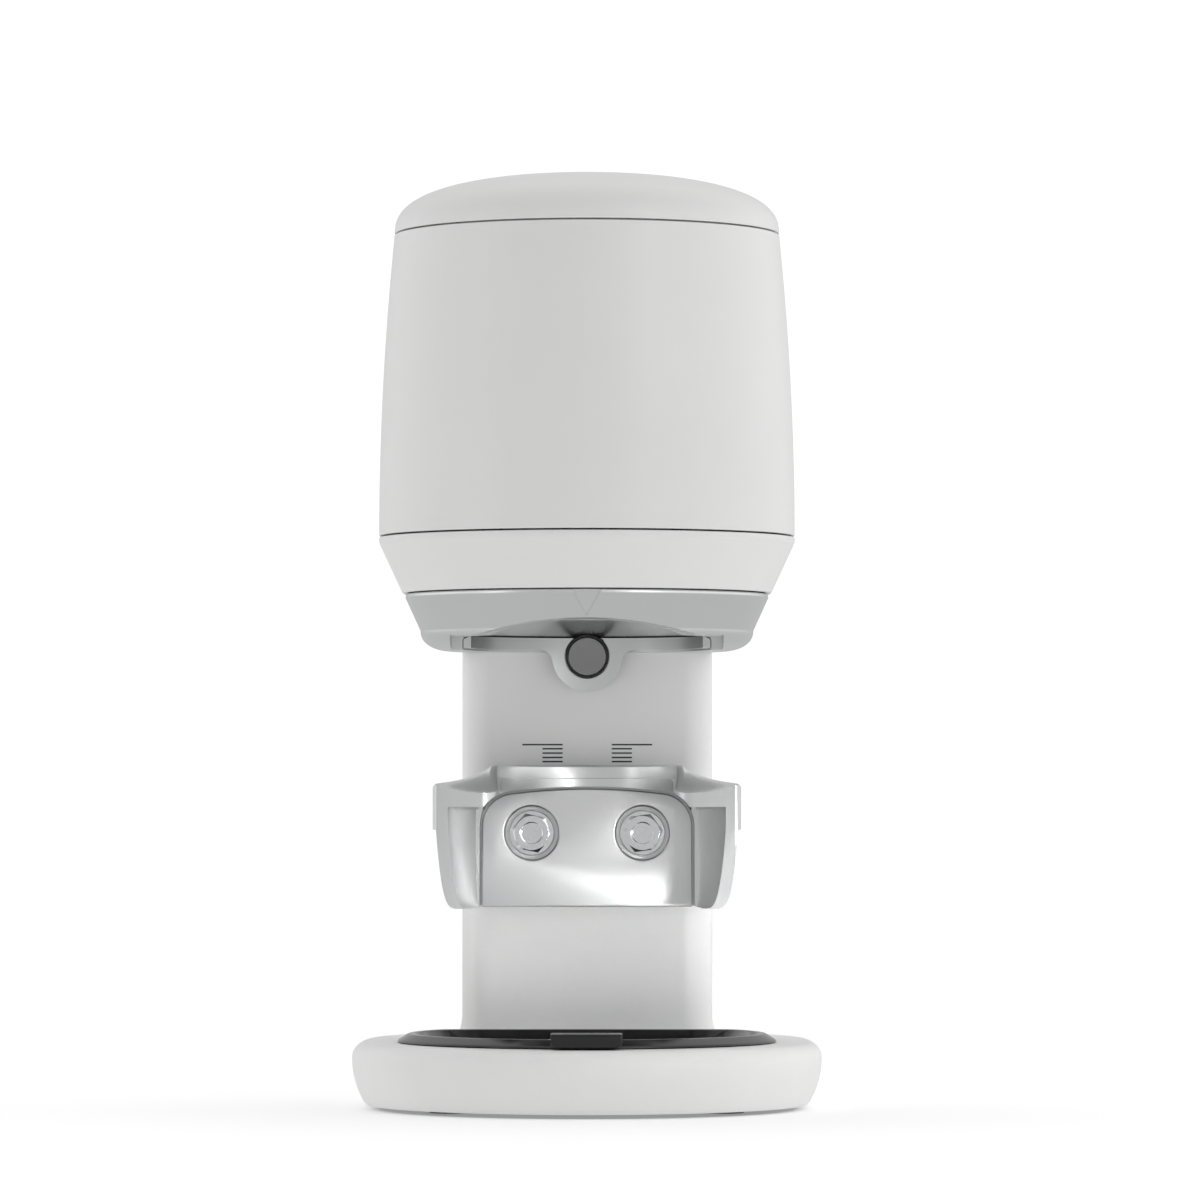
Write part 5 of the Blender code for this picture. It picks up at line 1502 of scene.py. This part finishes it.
@dataclass
class Fork:
    """The height-adjustable fork: a collar on two arms cast with a web, and a bolted clamp plate."""

    radius: float = 55.2 * mm
    wall: float = 4.3 * mm
    gap: float = 31.0 * mm
    ahead: float = 10.0 * mm
    low: float = 71.6 * mm
    low_radius: float = 45.5 * mm
    lip: float = 108.0 * mm
    step: float = 99.8 * mm
    step_inset: float = 1.2 * mm
    top: float = 123.2 * mm
    outer_top: float = 116.3 * mm
    nose_top: float = 113.0 * mm
    column_front: float = 47.0 * mm
    clamp_half: float = 38.2 * mm
    clamp_top: float = 114.5 * mm
    clamp_front: float = 33.0 * mm
    clamp_back: float = 42.0 * mm
    clamp_round: float = 12.0 * mm
    clamp_arch: float = 1.6 * mm
    rim_width: float = 3.2 * mm
    rim_rise: float = 18.0 * mm
    nose_round: float = 7.0 * mm
    seat_gap: float = 0.9 * mm
    skirt_end: float = 8.0 * mm
    skirt_rise: float = 12.0 * mm
    ledge_wide: float = 1.5 * mm
    ledge_drop: float = 5.0 * mm
    bolt_x: float = 20.2 * mm
    bolt_z: float = 98.4 * mm
    bolt_flats: float = 13.0 * mm
    bolt_shank: float = 4.0 * mm
    bore: float = 9.7 * mm

    def crest(self, radius: np.ndarray, behind: np.ndarray) -> np.ndarray:
        """Top of the collar: z = inner + (outer - inner) (b (1 - (1 - o)^2) + (1 - b) o^2.2).

        Args:
            radius: distances from the axis. o runs from 0 at the rim's edge to 1 at the outside.
            behind: distances behind the axis. b eases from 0 at the nose to 1 behind it.

        Returns:
            The heights.
        """
        back = ease((behind + self.ahead) / self.rim_rise)
        edge = self.gap + self.rim_width
        out = np.clip((radius - edge) / (self.radius - edge), 0, 1)
        inner = self.nose_top + (self.top - self.nose_top) * back
        return inner + (self.outer_top - inner) * (back * (1 - (1 - out) ** 2) + (1 - back) * out**2.2)

    def collar(self) -> bpy.types.Object:
        """The collar: its section is carried from one wing's front, half way round the axis, to the other."""
        outer, gap = self.radius, self.gap
        soft_in, soft_out = 1.1 * mm, 1.4 * mm
        inwards = np.radians(np.linspace(4, 90, 8))
        outwards = np.radians(np.linspace(5, 78, 8))
        crown = np.concatenate(
            [
                gap + soft_in * (1 - np.cos(inwards)),
                np.linspace(gap + soft_in + 0.2 * mm, outer - soft_out - 0.2 * mm, 34),
                outer - soft_out * (1 - np.sin(outwards)),
            ]
        )
        shed = np.concatenate(
            [soft_in * (1 - np.sin(inwards)), np.zeros(34), soft_out * (1 - np.cos(outwards))]
        )
        under = eased(
            [
                (outer, self.outer_top - 3.0 * mm, 0),
                (outer, self.step, 0.5 * mm),
                (outer - self.wall, self.step, 0.5 * mm),
                (outer - self.wall, self.lip, 1.0 * mm),
                (gap, self.lip, 0.9 * mm),
                (gap, self.lip + 1.2 * mm, 0),
            ],
            False,
            6,
        )
        straight = np.linspace(-self.ahead, 0, 9)[:-1]
        turn = np.linspace(0, math.pi, 121)
        rings = []
        right = [(1, b) for b in straight]
        left = [(-1, b) for b in straight[::-1]]
        for side, value in right + [(0, t) for t in turn] + left:
            start = gap * math.sin(value) if side == 0 else value
            full = float(self.crest(np.array([gap]), np.array([start]))[0])
            share = float(np.clip((full - self.nose_top) / (self.top - self.nose_top), 0, 1))
            ledge = self.ledge_wide * share
            shift = ledge * np.clip(1 - (crown - gap - soft_in) / (4 * mm), 0, 1)
            brink = full - share * self.ledge_drop - (1 - share) * 1 * mm
            wall = np.array([(gap, brink), (gap + ledge, brink + 0.3 * mm)])
            radius = np.concatenate([crown + shift, under[:, 0], wall[:, 0]])
            behind = radius * math.sin(value) if side == 0 else np.full(len(radius), value)
            across = radius * math.cos(value) if side == 0 else side * radius
            foot = ease((behind[len(crown) : len(crown) + len(under)] - self.skirt_end) / self.skirt_rise)
            short = 1 - (1 - 1 * mm / (self.lip - self.step)) * foot
            low = np.where(under[:, 1] < self.lip, self.lip - (self.lip - under[:, 1]) * short, under[:, 1])
            z = np.concatenate([self.crest(crown, behind[: len(crown)]) - shed, low, wall[:, 1]])
            rings.append(np.column_stack([across, AXIS_Y + behind, z]))
        return skin("fork_body", np.stack(rings), "flat", 40.0)

    def arm(self, side: int) -> bpy.types.Object:
        """One arm: x = e + (R(z) - w - e) cos^1.6 t, behind = B sin t, with R(z) = r + (R - r) h^(1/4)."""
        top = self.lip + 1 * mm
        heights = self.low + (top - self.low) * np.linspace(0, 1, 40) ** 2.2
        rise = np.clip((heights - self.low) / (self.step - self.low), 0, 1)
        reach = self.low_radius + (self.radius - self.step_inset - self.low_radius) * rise**0.25
        edge = self.clamp_half + GAP + 1 * mm
        z = np.concatenate([heights, heights[::-1]])
        outer = np.concatenate([np.ones(40), np.zeros(40)]) * self.wall
        radius = np.concatenate([reach, reach[::-1]])
        rings = []
        stations = [(-self.ahead, 0.0)] + [(None, t) for t in np.linspace(0, math.pi / 2, 40)]
        for straight, turn in stations:
            bend = abs(math.cos(turn)) ** 1.6
            x = edge + (radius - self.wall - edge) * bend + outer * math.cos(turn)
            start = self.clamp_front * math.sin(turn) if straight is None else straight
            behind = start + outer * math.sin(turn)
            rings.append(np.column_stack([side * x, AXIS_Y + behind, z]))
        return skin("fork_arm", np.stack(rings), "flat", 40.0)

    def clamp_outline(self, grow: float = 0.0) -> np.ndarray:
        """The clamp plate from the front: round upper corners under a shallow arch."""
        half = self.clamp_half + grow
        soft = self.clamp_round + grow
        flat_half = half - soft
        shoulder = self.clamp_top + grow - self.clamp_arch
        sweep = (flat_half**2 + self.clamp_arch**2) / (2 * self.clamp_arch)
        lean = math.degrees(math.asin(flat_half / sweep))
        right = arc((flat_half, shoulder - soft), soft, 0, 90 - lean, 24)
        crown = arc((0, self.clamp_top + grow - sweep), sweep, 90 - lean, 90 + lean, 30)
        low = self.low - grow
        return np.vstack([[(half, low)], right[:-1], crown, (right * (-1, 1))[::-1][1:], [(-half, low)]])

    def nose(self, side: int) -> bpy.types.Object:
        """What the round corners of a wing's nose take off, as an upright prism."""
        big, small = self.nose_round, 2.2 * mm
        inside, outside = self.gap - 3 * mm, self.radius + 4 * mm
        far = -self.ahead - 6 * mm
        inner = arc((self.gap + big, big - self.ahead), big, 180, 270, 24)
        outer = arc((self.radius - small, small - self.ahead), small, 270, 360, 12)
        rest = [(outside, small - self.ahead), (outside, far), (inside, far), (inside, big - self.ahead)]
        outline = np.vstack([inner, outer, rest]) * (side, 1) + (0, AXIS_Y)
        return prism("nose_cutter", outline, self.step - PAST, self.top + PAST, "XY")

    def body(self) -> bpy.types.Object:
        """The whole casting: collar, web and arms joined; the clamp's seat, the back and the holes cut."""
        fork = self.collar()
        spare = 0.5 * mm
        inner = self.clamp_half + GAP - spare
        outer = self.clamp_half + GAP + self.wall
        front = self.clamp_front - 1 * mm
        step = self.clamp_back + GAP - spare
        back = self.column_front - GAP
        right = np.array([(inner, step), (inner, front), (outer, front), (outer, back + spare)])
        web = np.vstack([(right * (-1, 1))[::-1], right]) + (0, AXIS_Y)
        casing = prism("fork_web", web, self.low + 0.2 * mm, self.lip + 1.9 * mm, "XY")
        shape_with(fork, [casing, self.arm(-1), self.arm(1)], CutMode.JOIN)
        seat_back = AXIS_Y + self.clamp_back + GAP
        seat = slab("seat_cutter", self.clamp_outline(self.seat_gap), AXIS_Y - 20 * mm, seat_back)
        wide = 90 * mm
        behind = cuboid(
            "back_cutter",
            (-wide, AXIS_Y + back, self.low - 2 * PAST),
            (wide, AXIS_Y + back + 40 * mm, self.top + 2 * PAST),
        )
        shank = self.bolt_shank + GAP
        holes = [bore("web_hole", shank, 36 * mm, 60 * mm, centre, 32) for centre in self.bolt_centres()]
        shape_with(fork, [seat, behind, self.nose(-1), self.nose(1), *holes])
        crisp(fork, 38.0, 0.000004)
        return fork

    def bolt_centres(self) -> list[Vector]:
        """Where the two bolts' axes pass the tamping axis, left and right."""
        return [Vector((side * self.bolt_x, AXIS_Y, self.bolt_z)) for side in (-1, 1)]

    def plate(self) -> bpy.types.Object:
        """The clamp plate, with its two counterbores and their round mouths."""
        front = AXIS_Y + self.clamp_front
        plate = slab("clamp_face", self.clamp_outline(), front, AXIS_Y + self.clamp_back, 0.5 * mm)
        depth = self.clamp_front + 7.5 * mm
        soft = 0.9 * mm
        shank = self.bolt_shank + GAP
        before, after = self.clamp_front - 3 * mm, self.clamp_back + 3 * mm
        mouth = arc((self.bore + soft, self.clamp_front + soft), soft, 270, 180, 8)
        profile = np.vstack(
            [
                [(TIP, before), (self.bore + soft, before)],
                mouth,
                [(self.bore, depth), (shank, depth), (shank, after), (TIP, after)],
            ]
        )
        centres = self.bolt_centres()
        shape_with(plate, [lathe("counterbore", profile, centre, "Y", 96, "caps") for centre in centres])
        crisp(plate)
        return plate

    def bolt(self, word: str, turn: float) -> bpy.types.Object:
        """A hexagon-head bolt: chamfered corners, a face with a shallow dish, and its shank."""
        low, high = corners(f"clamp_bolt_{word}")
        x, z = (low.x + high.x) / 2, (low.z + high.z) / 2
        corner = self.bolt_flats / 2 / math.cos(math.radians(30))
        head = 5.3 * mm
        hexagon = arc((x, z), corner, turn, turn + 300, 6)
        bolt = slab(f"hex_bolt_{word}", hexagon, low.y, low.y + head, KNIFE / 2)
        half = self.bolt_flats / 2
        dome = eased(
            [
                (TIP, 0.32 * mm, 0),
                (1.6 * mm, 0.3 * mm, 0.5 * mm),
                (3.7 * mm, 0.3 * mm, 0.5 * mm),
                (4.1 * mm, 0.05 * mm, 0.3 * mm),
                (4.7 * mm, 0.0, 0.5 * mm),
                (half - 0.35 * mm, 0.0, 0.15 * mm),
                (corner + 0.3 * mm, 0.85 * mm, 0.2 * mm),
                (corner + 0.3 * mm, head + 1 * mm, 0),
                (TIP, head + 1 * mm, 0),
            ],
            False,
            6,
        )
        shape_with(bolt, [lathe("dome", dome, Vector((x, low.y, z)), "Y", 96, "caps")], CutMode.KEEP)
        shank = eased(
            [
                (TIP, head - 1 * mm, 0),
                (self.bolt_shank, head - 1 * mm, 0),
                (self.bolt_shank, high.y - low.y, 0.6 * mm),
                (TIP, high.y - low.y, 0),
            ],
            False,
        )
        shape_with(bolt, [lathe("shank", shank, Vector((x, low.y, z)), "Y", 48, "caps")], CutMode.JOIN)
        crisp(bolt, 25.0)
        return bolt

    def washer(self, word: str) -> bpy.types.Object:
        """A plain washer with soft rims."""
        low, high = corners(f"washer_{word}")
        radius = (high.x - low.x) / 2
        hole = self.bolt_shank + GAP
        profile = eased(
            [
                (radius, 0, 0.3 * mm),
                (radius, high.y - low.y, 0.3 * mm),
                (hole, high.y - low.y, 0.2 * mm),
                (hole, 0, 0.2 * mm),
            ],
            True,
        )
        centre = Vector(((low.x + high.x) / 2, low.y, (low.z + high.z) / 2))
        return lathe(f"flat_washer_{word}", profile, centre, "Y", 72)

    def build(self) -> None:
        """Makes the casting, the clamp plate and its fasteners."""
        settle(self.body(), Look.SILVER, "silver_cast", "holder", "fork_casting")
        settle(self.plate(), Look.BRUSHED, "brushed_plate", "holder", "clamp_plate")
        for word, turn in (("left", -12.0), ("right", 8.0)):
            settle(self.bolt(word, turn), Look.ZINC, "zinc_steel", "holder", f"clamp_bolt_{word}")
            settle(self.washer(word), Look.ZINC, "zinc_steel", "holder", f"washer_{word}")


# Drive and controls -----------------------------------------------------------------------------


@dataclass
class Drive:
    """The tamping disc, its plunger and the keys under the cap; the rest is dressed as it stands."""

    looks: dict[Look, tuple[str, ...]] = field(
        default_factory=lambda: {
            Look.BRONZE: ("drive_nut", "plunger_bush", "screw_gear"),
            Look.DARK_STEEL: (
                "crosshead",
                "disc_springs",
                "drive_pinion",
                "chassis_plate",
                "upper_bearing_plate",
                "drive_motor",
                "bottom_plate",
                "column_spine",
                "clamp_nut_left",
                "clamp_nut_right",
            ),
            Look.ZINC: (
                "tamper_screw",
                "leadscrew",
                "motor_shaft",
                "screw_bearing",
                "guide_rod_left",
                "guide_rod_right",
                "deck_post_left",
                "deck_post_right",
                *(f"plate_screw_{number}" for number in range(1, 5)),
            ),
            Look.BOARD: ("controller_board",),
            Look.BLACK_MOULDING: ("control_deck",),
            Look.DISPLAY: ("display_window",),
        }
    )

    def disc(self) -> bpy.types.Object:
        """The tamping disc: a polished foot with fine turned grooves in its side."""
        low, high = corners("tamper_disc")
        radius = (high.x - low.x) / 2
        thick = high.z - low.z
        profile = eased(
            [
                (radius - 1.2 * mm, thick, 0.4 * mm),
                (radius, thick - 1.2 * mm, 0.4 * mm),
                (radius, 3.6 * mm, 0.1 * mm),
                (radius - 0.3 * mm, 3.4 * mm, 0.1 * mm),
                (radius, 3.2 * mm, 0.1 * mm),
                (radius, 0.0, 0.4 * mm),
                (5.8 * mm, 0.0, 0.3 * mm),
                (5.8 * mm, 2.8 * mm, 0),
                (3.3 * mm, 2.8 * mm, 0),
                (3.3 * mm, thick, 0),
            ],
            True,
        )
        return lathe("tamping_foot", profile, Vector((0, AXIS_Y, low.z)), "Z", 128)

    def plunger(self) -> bpy.types.Object:
        """The plunger: a hollow rod, closed above its threaded foot."""
        low, high = corners("plunger_rod")
        radius = (high.x - low.x) / 2
        tall = high.z - low.z
        profile = eased(
            [
                (TIP, 14 * mm, 0),
                (6.5 * mm, 14 * mm, 0.5 * mm),
                (6.5 * mm, tall, 0.2 * mm),
                (radius, tall, 0.4 * mm),
                (radius, 0, 0.4 * mm),
                (3.3 * mm, 0, 0.2 * mm),
                (3.3 * mm, 11 * mm, 0.2 * mm),
                (TIP, 11 * mm, 0),
            ],
            False,
        )
        return lathe("plunger_tube", profile, Vector((0, AXIS_Y, low.z)), "Z", 96, "caps")

    def key(self, word: str) -> bpy.types.Object:
        """A round setting key with a dished top."""
        low, high = corners(f"setting_key_{word}")
        radius = (high.x - low.x) / 2
        flat = radius - 0.8 * mm
        across = np.linspace(0.02, 1, 12) * flat
        dish = np.stack([across, high.z - 0.3 * mm * (1 - (across / flat) ** 2)], axis=1)
        rim = eased(
            [
                (flat, high.z, 0.2 * mm),
                (radius, high.z, 0.5 * mm),
                (radius, low.z, 0.1 * mm),
                (2 * TIP, low.z, 0),
            ],
            False,
        )
        centre = Vector(((low.x + high.x) / 2, (low.y + high.y) / 2, 0))
        return lathe(f"round_key_{word}", np.vstack([dish[:-1], rim]), centre, "Z", 64, "caps")

    def build(self) -> None:
        """Makes the pieces that show, and dresses the rest."""
        settle(self.disc(), Look.ZINC, "zinc_steel", "tamper", "tamper_disc")
        settle(self.plunger(), Look.ZINC, "zinc_steel", "tamper", "plunger_rod")
        for word in ("left", "right"):
            settle(self.key(word), Look.BUTTON_GREY, "button_grey", f"key_{word}", f"setting_key_{word}")
        dress_nodes(self.looks)


# Studio -----------------------------------------------------------------------------------------


@dataclass
class Studio:
    """The pale floor, the soft lights, the bright surroundings and the camera."""

    distance: float = 2.3
    eye: float = 114.1 * mm
    aside: float = 4.7 * mm
    tilt: float = 1.70
    lens: float = 192.0
    floor_half: float = 6.0
    bright: float = 1.10
    dim: float = 0.20
    floor_glow: float = 0.18
    floor_fill: float = 0.20
    floor_mirror: float = 0.62
    lean: float = -0.28
    backdrop: float = 1.05

    def floor(self) -> None:
        """A wide pale floor under the feet, which lends soft light to what stands over it."""
        half = self.floor_half
        points = np.array([(-half, -half, 0), (half, -half, 0), (half, half, 0), (-half, half, 0)], float)
        floor = mesh_object("studio_floor", points, [np.array([(0, 1, 2, 3)])])
        made, graph, shader, where = start_material("studio_floor")
        cloud = graph.add("ShaderNodeTexNoise", {"Vector": where, "Scale": 3.0})
        tint = graph.add(
            "ShaderNodeMix",
            {0: cloud.outputs["Fac"], 6: (0.93, 0.93, 0.93, 1), 7: (0.95, 0.95, 0.95, 1)},
            data_type="RGBA",
        )
        graph.link(tint.outputs[2], shader.inputs["Base Color"])
        shader.inputs["Roughness"].default_value = 0.9
        shader.inputs["Specular IOR Level"].default_value = 0.1
        shader.inputs["Emission Color"].default_value = (1, 1, 1, 1)
        ray = graph.add("ShaderNodeLightPath")
        glow = graph.add(
            "ShaderNodeMapRange",
            {"Value": ray.outputs["Is Camera Ray"], "To Min": self.floor_fill, "To Max": self.floor_glow},
        )
        graph.link(glow.outputs["Result"], shader.inputs["Emission Strength"])
        dark = graph.add("ShaderNodeEmission", {"Color": (1, 1, 1, 1), "Strength": self.floor_mirror})
        swap = graph.add("ShaderNodeMixShader", {0: ray.outputs["Is Glossy Ray"], 2: dark.outputs[0]})
        graph.link(shader.outputs[0], swap.inputs[1])
        graph.link(swap.outputs[0], made.node_tree.nodes["Material Output"].inputs["Surface"])
        floor.data.materials.append(made)

    def fade(
        self,
        graph: Graph,
        where: bpy.types.NodeSocket,
        toward: Vector,
        reach: tuple[float, float],
        values: tuple[float, float],
    ) -> bpy.types.NodeSocket:
        """high - (high - low) s(d . f): a value that eases from high to low as a direction nears f.

        Args:
            graph: the world's graph.
            where: the direction's socket.
            toward: f.
            reach: the products where the value starts and stops to change.
            values: high, away from f, and low, at f.

        Returns:
            The value's socket.
        """
        facing = graph.add(
            "ShaderNodeVectorMath", {0: where, 1: tuple(toward.normalized())}, operation="DOT_PRODUCT"
        )
        amount = graph.add(
            "ShaderNodeMapRange",
            {
                "Value": facing.outputs["Value"],
                "From Min": reach[0],
                "From Max": reach[1],
                "To Min": values[0],
                "To Max": values[1],
            },
            interpolation_type="SMOOTHSTEP",
        )
        return amount.outputs["Result"]

    def surroundings(self) -> None:
        """The world: white behind, a soft gradient that lights paint, and another that metal mirrors."""
        world = bpy.data.worlds.new("studio")
        bpy.context.scene.world = world
        world.use_nodes = True
        graph = Graph(world.node_tree)
        where = graph.add("ShaderNodeTexCoord").outputs["Generated"]
        soft = self.fade(graph, where, Vector((self.lean, -1, 0)), (-0.15, 0.95), (self.bright, self.dim))
        front = self.fade(graph, where, Vector((-0.5, -1, 0)), (0.30, 1.0), (1.08, 0.58))
        behind = self.fade(graph, where, Vector((0, 1, 0)), (0.55, 1.0), (1.0, 0.50))
        mirror = graph.add("ShaderNodeMath", {0: front, 1: behind}, operation="MULTIPLY")
        ray = graph.add("ShaderNodeLightPath")
        lit = graph.add(
            "ShaderNodeMix",
            {0: ray.outputs["Is Glossy Ray"], 2: soft, 3: mirror.outputs[0]},
            data_type="FLOAT",
        )
        seen = graph.add(
            "ShaderNodeMix",
            {0: ray.outputs["Is Camera Ray"], 2: lit.outputs[0], 3: self.backdrop},
            data_type="FLOAT",
        )
        background = world.node_tree.nodes["Background"]
        graph.link(seen.outputs[0], background.inputs["Strength"])
        background.inputs["Color"].default_value = (1, 1, 1, 1)

    def lamp(
        self,
        name: str,
        place: tuple[float, float, float],
        size: tuple[float, float],
        power: float,
        aim: tuple[float, float, float] = (0.0, AXIS_Y, 0.17),
        spread: float = 180.0,
    ) -> None:
        """A soft rectangular light.

        Args:
            name: the lamp's name.
            place: its middle, in metres.
            size: its width and height.
            power: in watts.
            aim: the point that it faces.
            spread: the angle it opens to, in degrees, as set by the grid in front of it.
        """
        data = bpy.data.lights.new(name, "AREA")
        data.shape = "RECTANGLE"
        data.size, data.size_y = size
        data.energy = power
        data.spread = math.radians(spread)
        lamp = bpy.data.objects.new(name, data)
        bpy.context.scene.collection.objects.link(lamp)
        lamp.location = place
        toward = Vector(aim) - Vector(place)
        lamp.rotation_euler = toward.to_track_quat("-Z", "Y").to_euler()

    def camera(self) -> None:
        """A long lens, almost square on, low over the bench and tilted up by a degree or two."""
        data = bpy.data.cameras.new("front_camera")
        data.lens = self.lens
        data.sensor_width = 36.0
        data.clip_end = 100.0
        camera = bpy.data.objects.new("front_camera", data)
        bpy.context.scene.collection.objects.link(camera)
        camera.location = (self.aside, AXIS_Y - self.distance, self.eye)
        camera.rotation_euler = Euler((math.radians(90 + self.tilt), 0, 0))
        bpy.context.scene.camera = camera

    def build(self) -> None:
        """Sets the stage."""
        self.floor()
        self.surroundings()
        self.lamp("key_right", (1.1, -1.5, 0.9), (0.5, 1.4), 3.0)
        self.lamp("strip_left", (-1.4, -0.8, 0.6), (0.3, 1.6), 1.5)
        post = (0.0, AXIS_Y + 47 * mm, 0.064)
        self.lamp("post_fill", (0.22, -0.46, 0.064), (0.13, 0.06), 0.0105, post, 10.0)
        self.camera()
        scene = bpy.context.scene
        scene.view_settings.view_transform = "Standard"
        scene.view_settings.look = "None"


def main() -> None:
    """Builds the machine piece by piece, then the studio round it."""
    logging.basicConfig(level=logging.INFO, format="%(message)s", stream=sys.stdout)
    HeadShells().build()
    LowerHousing().build()
    Base().build()
    Tray().build()
    Column().build()
    Fork().build()
    Drive().build()
    Studio().build()


if __name__ == "__main__":
    main()
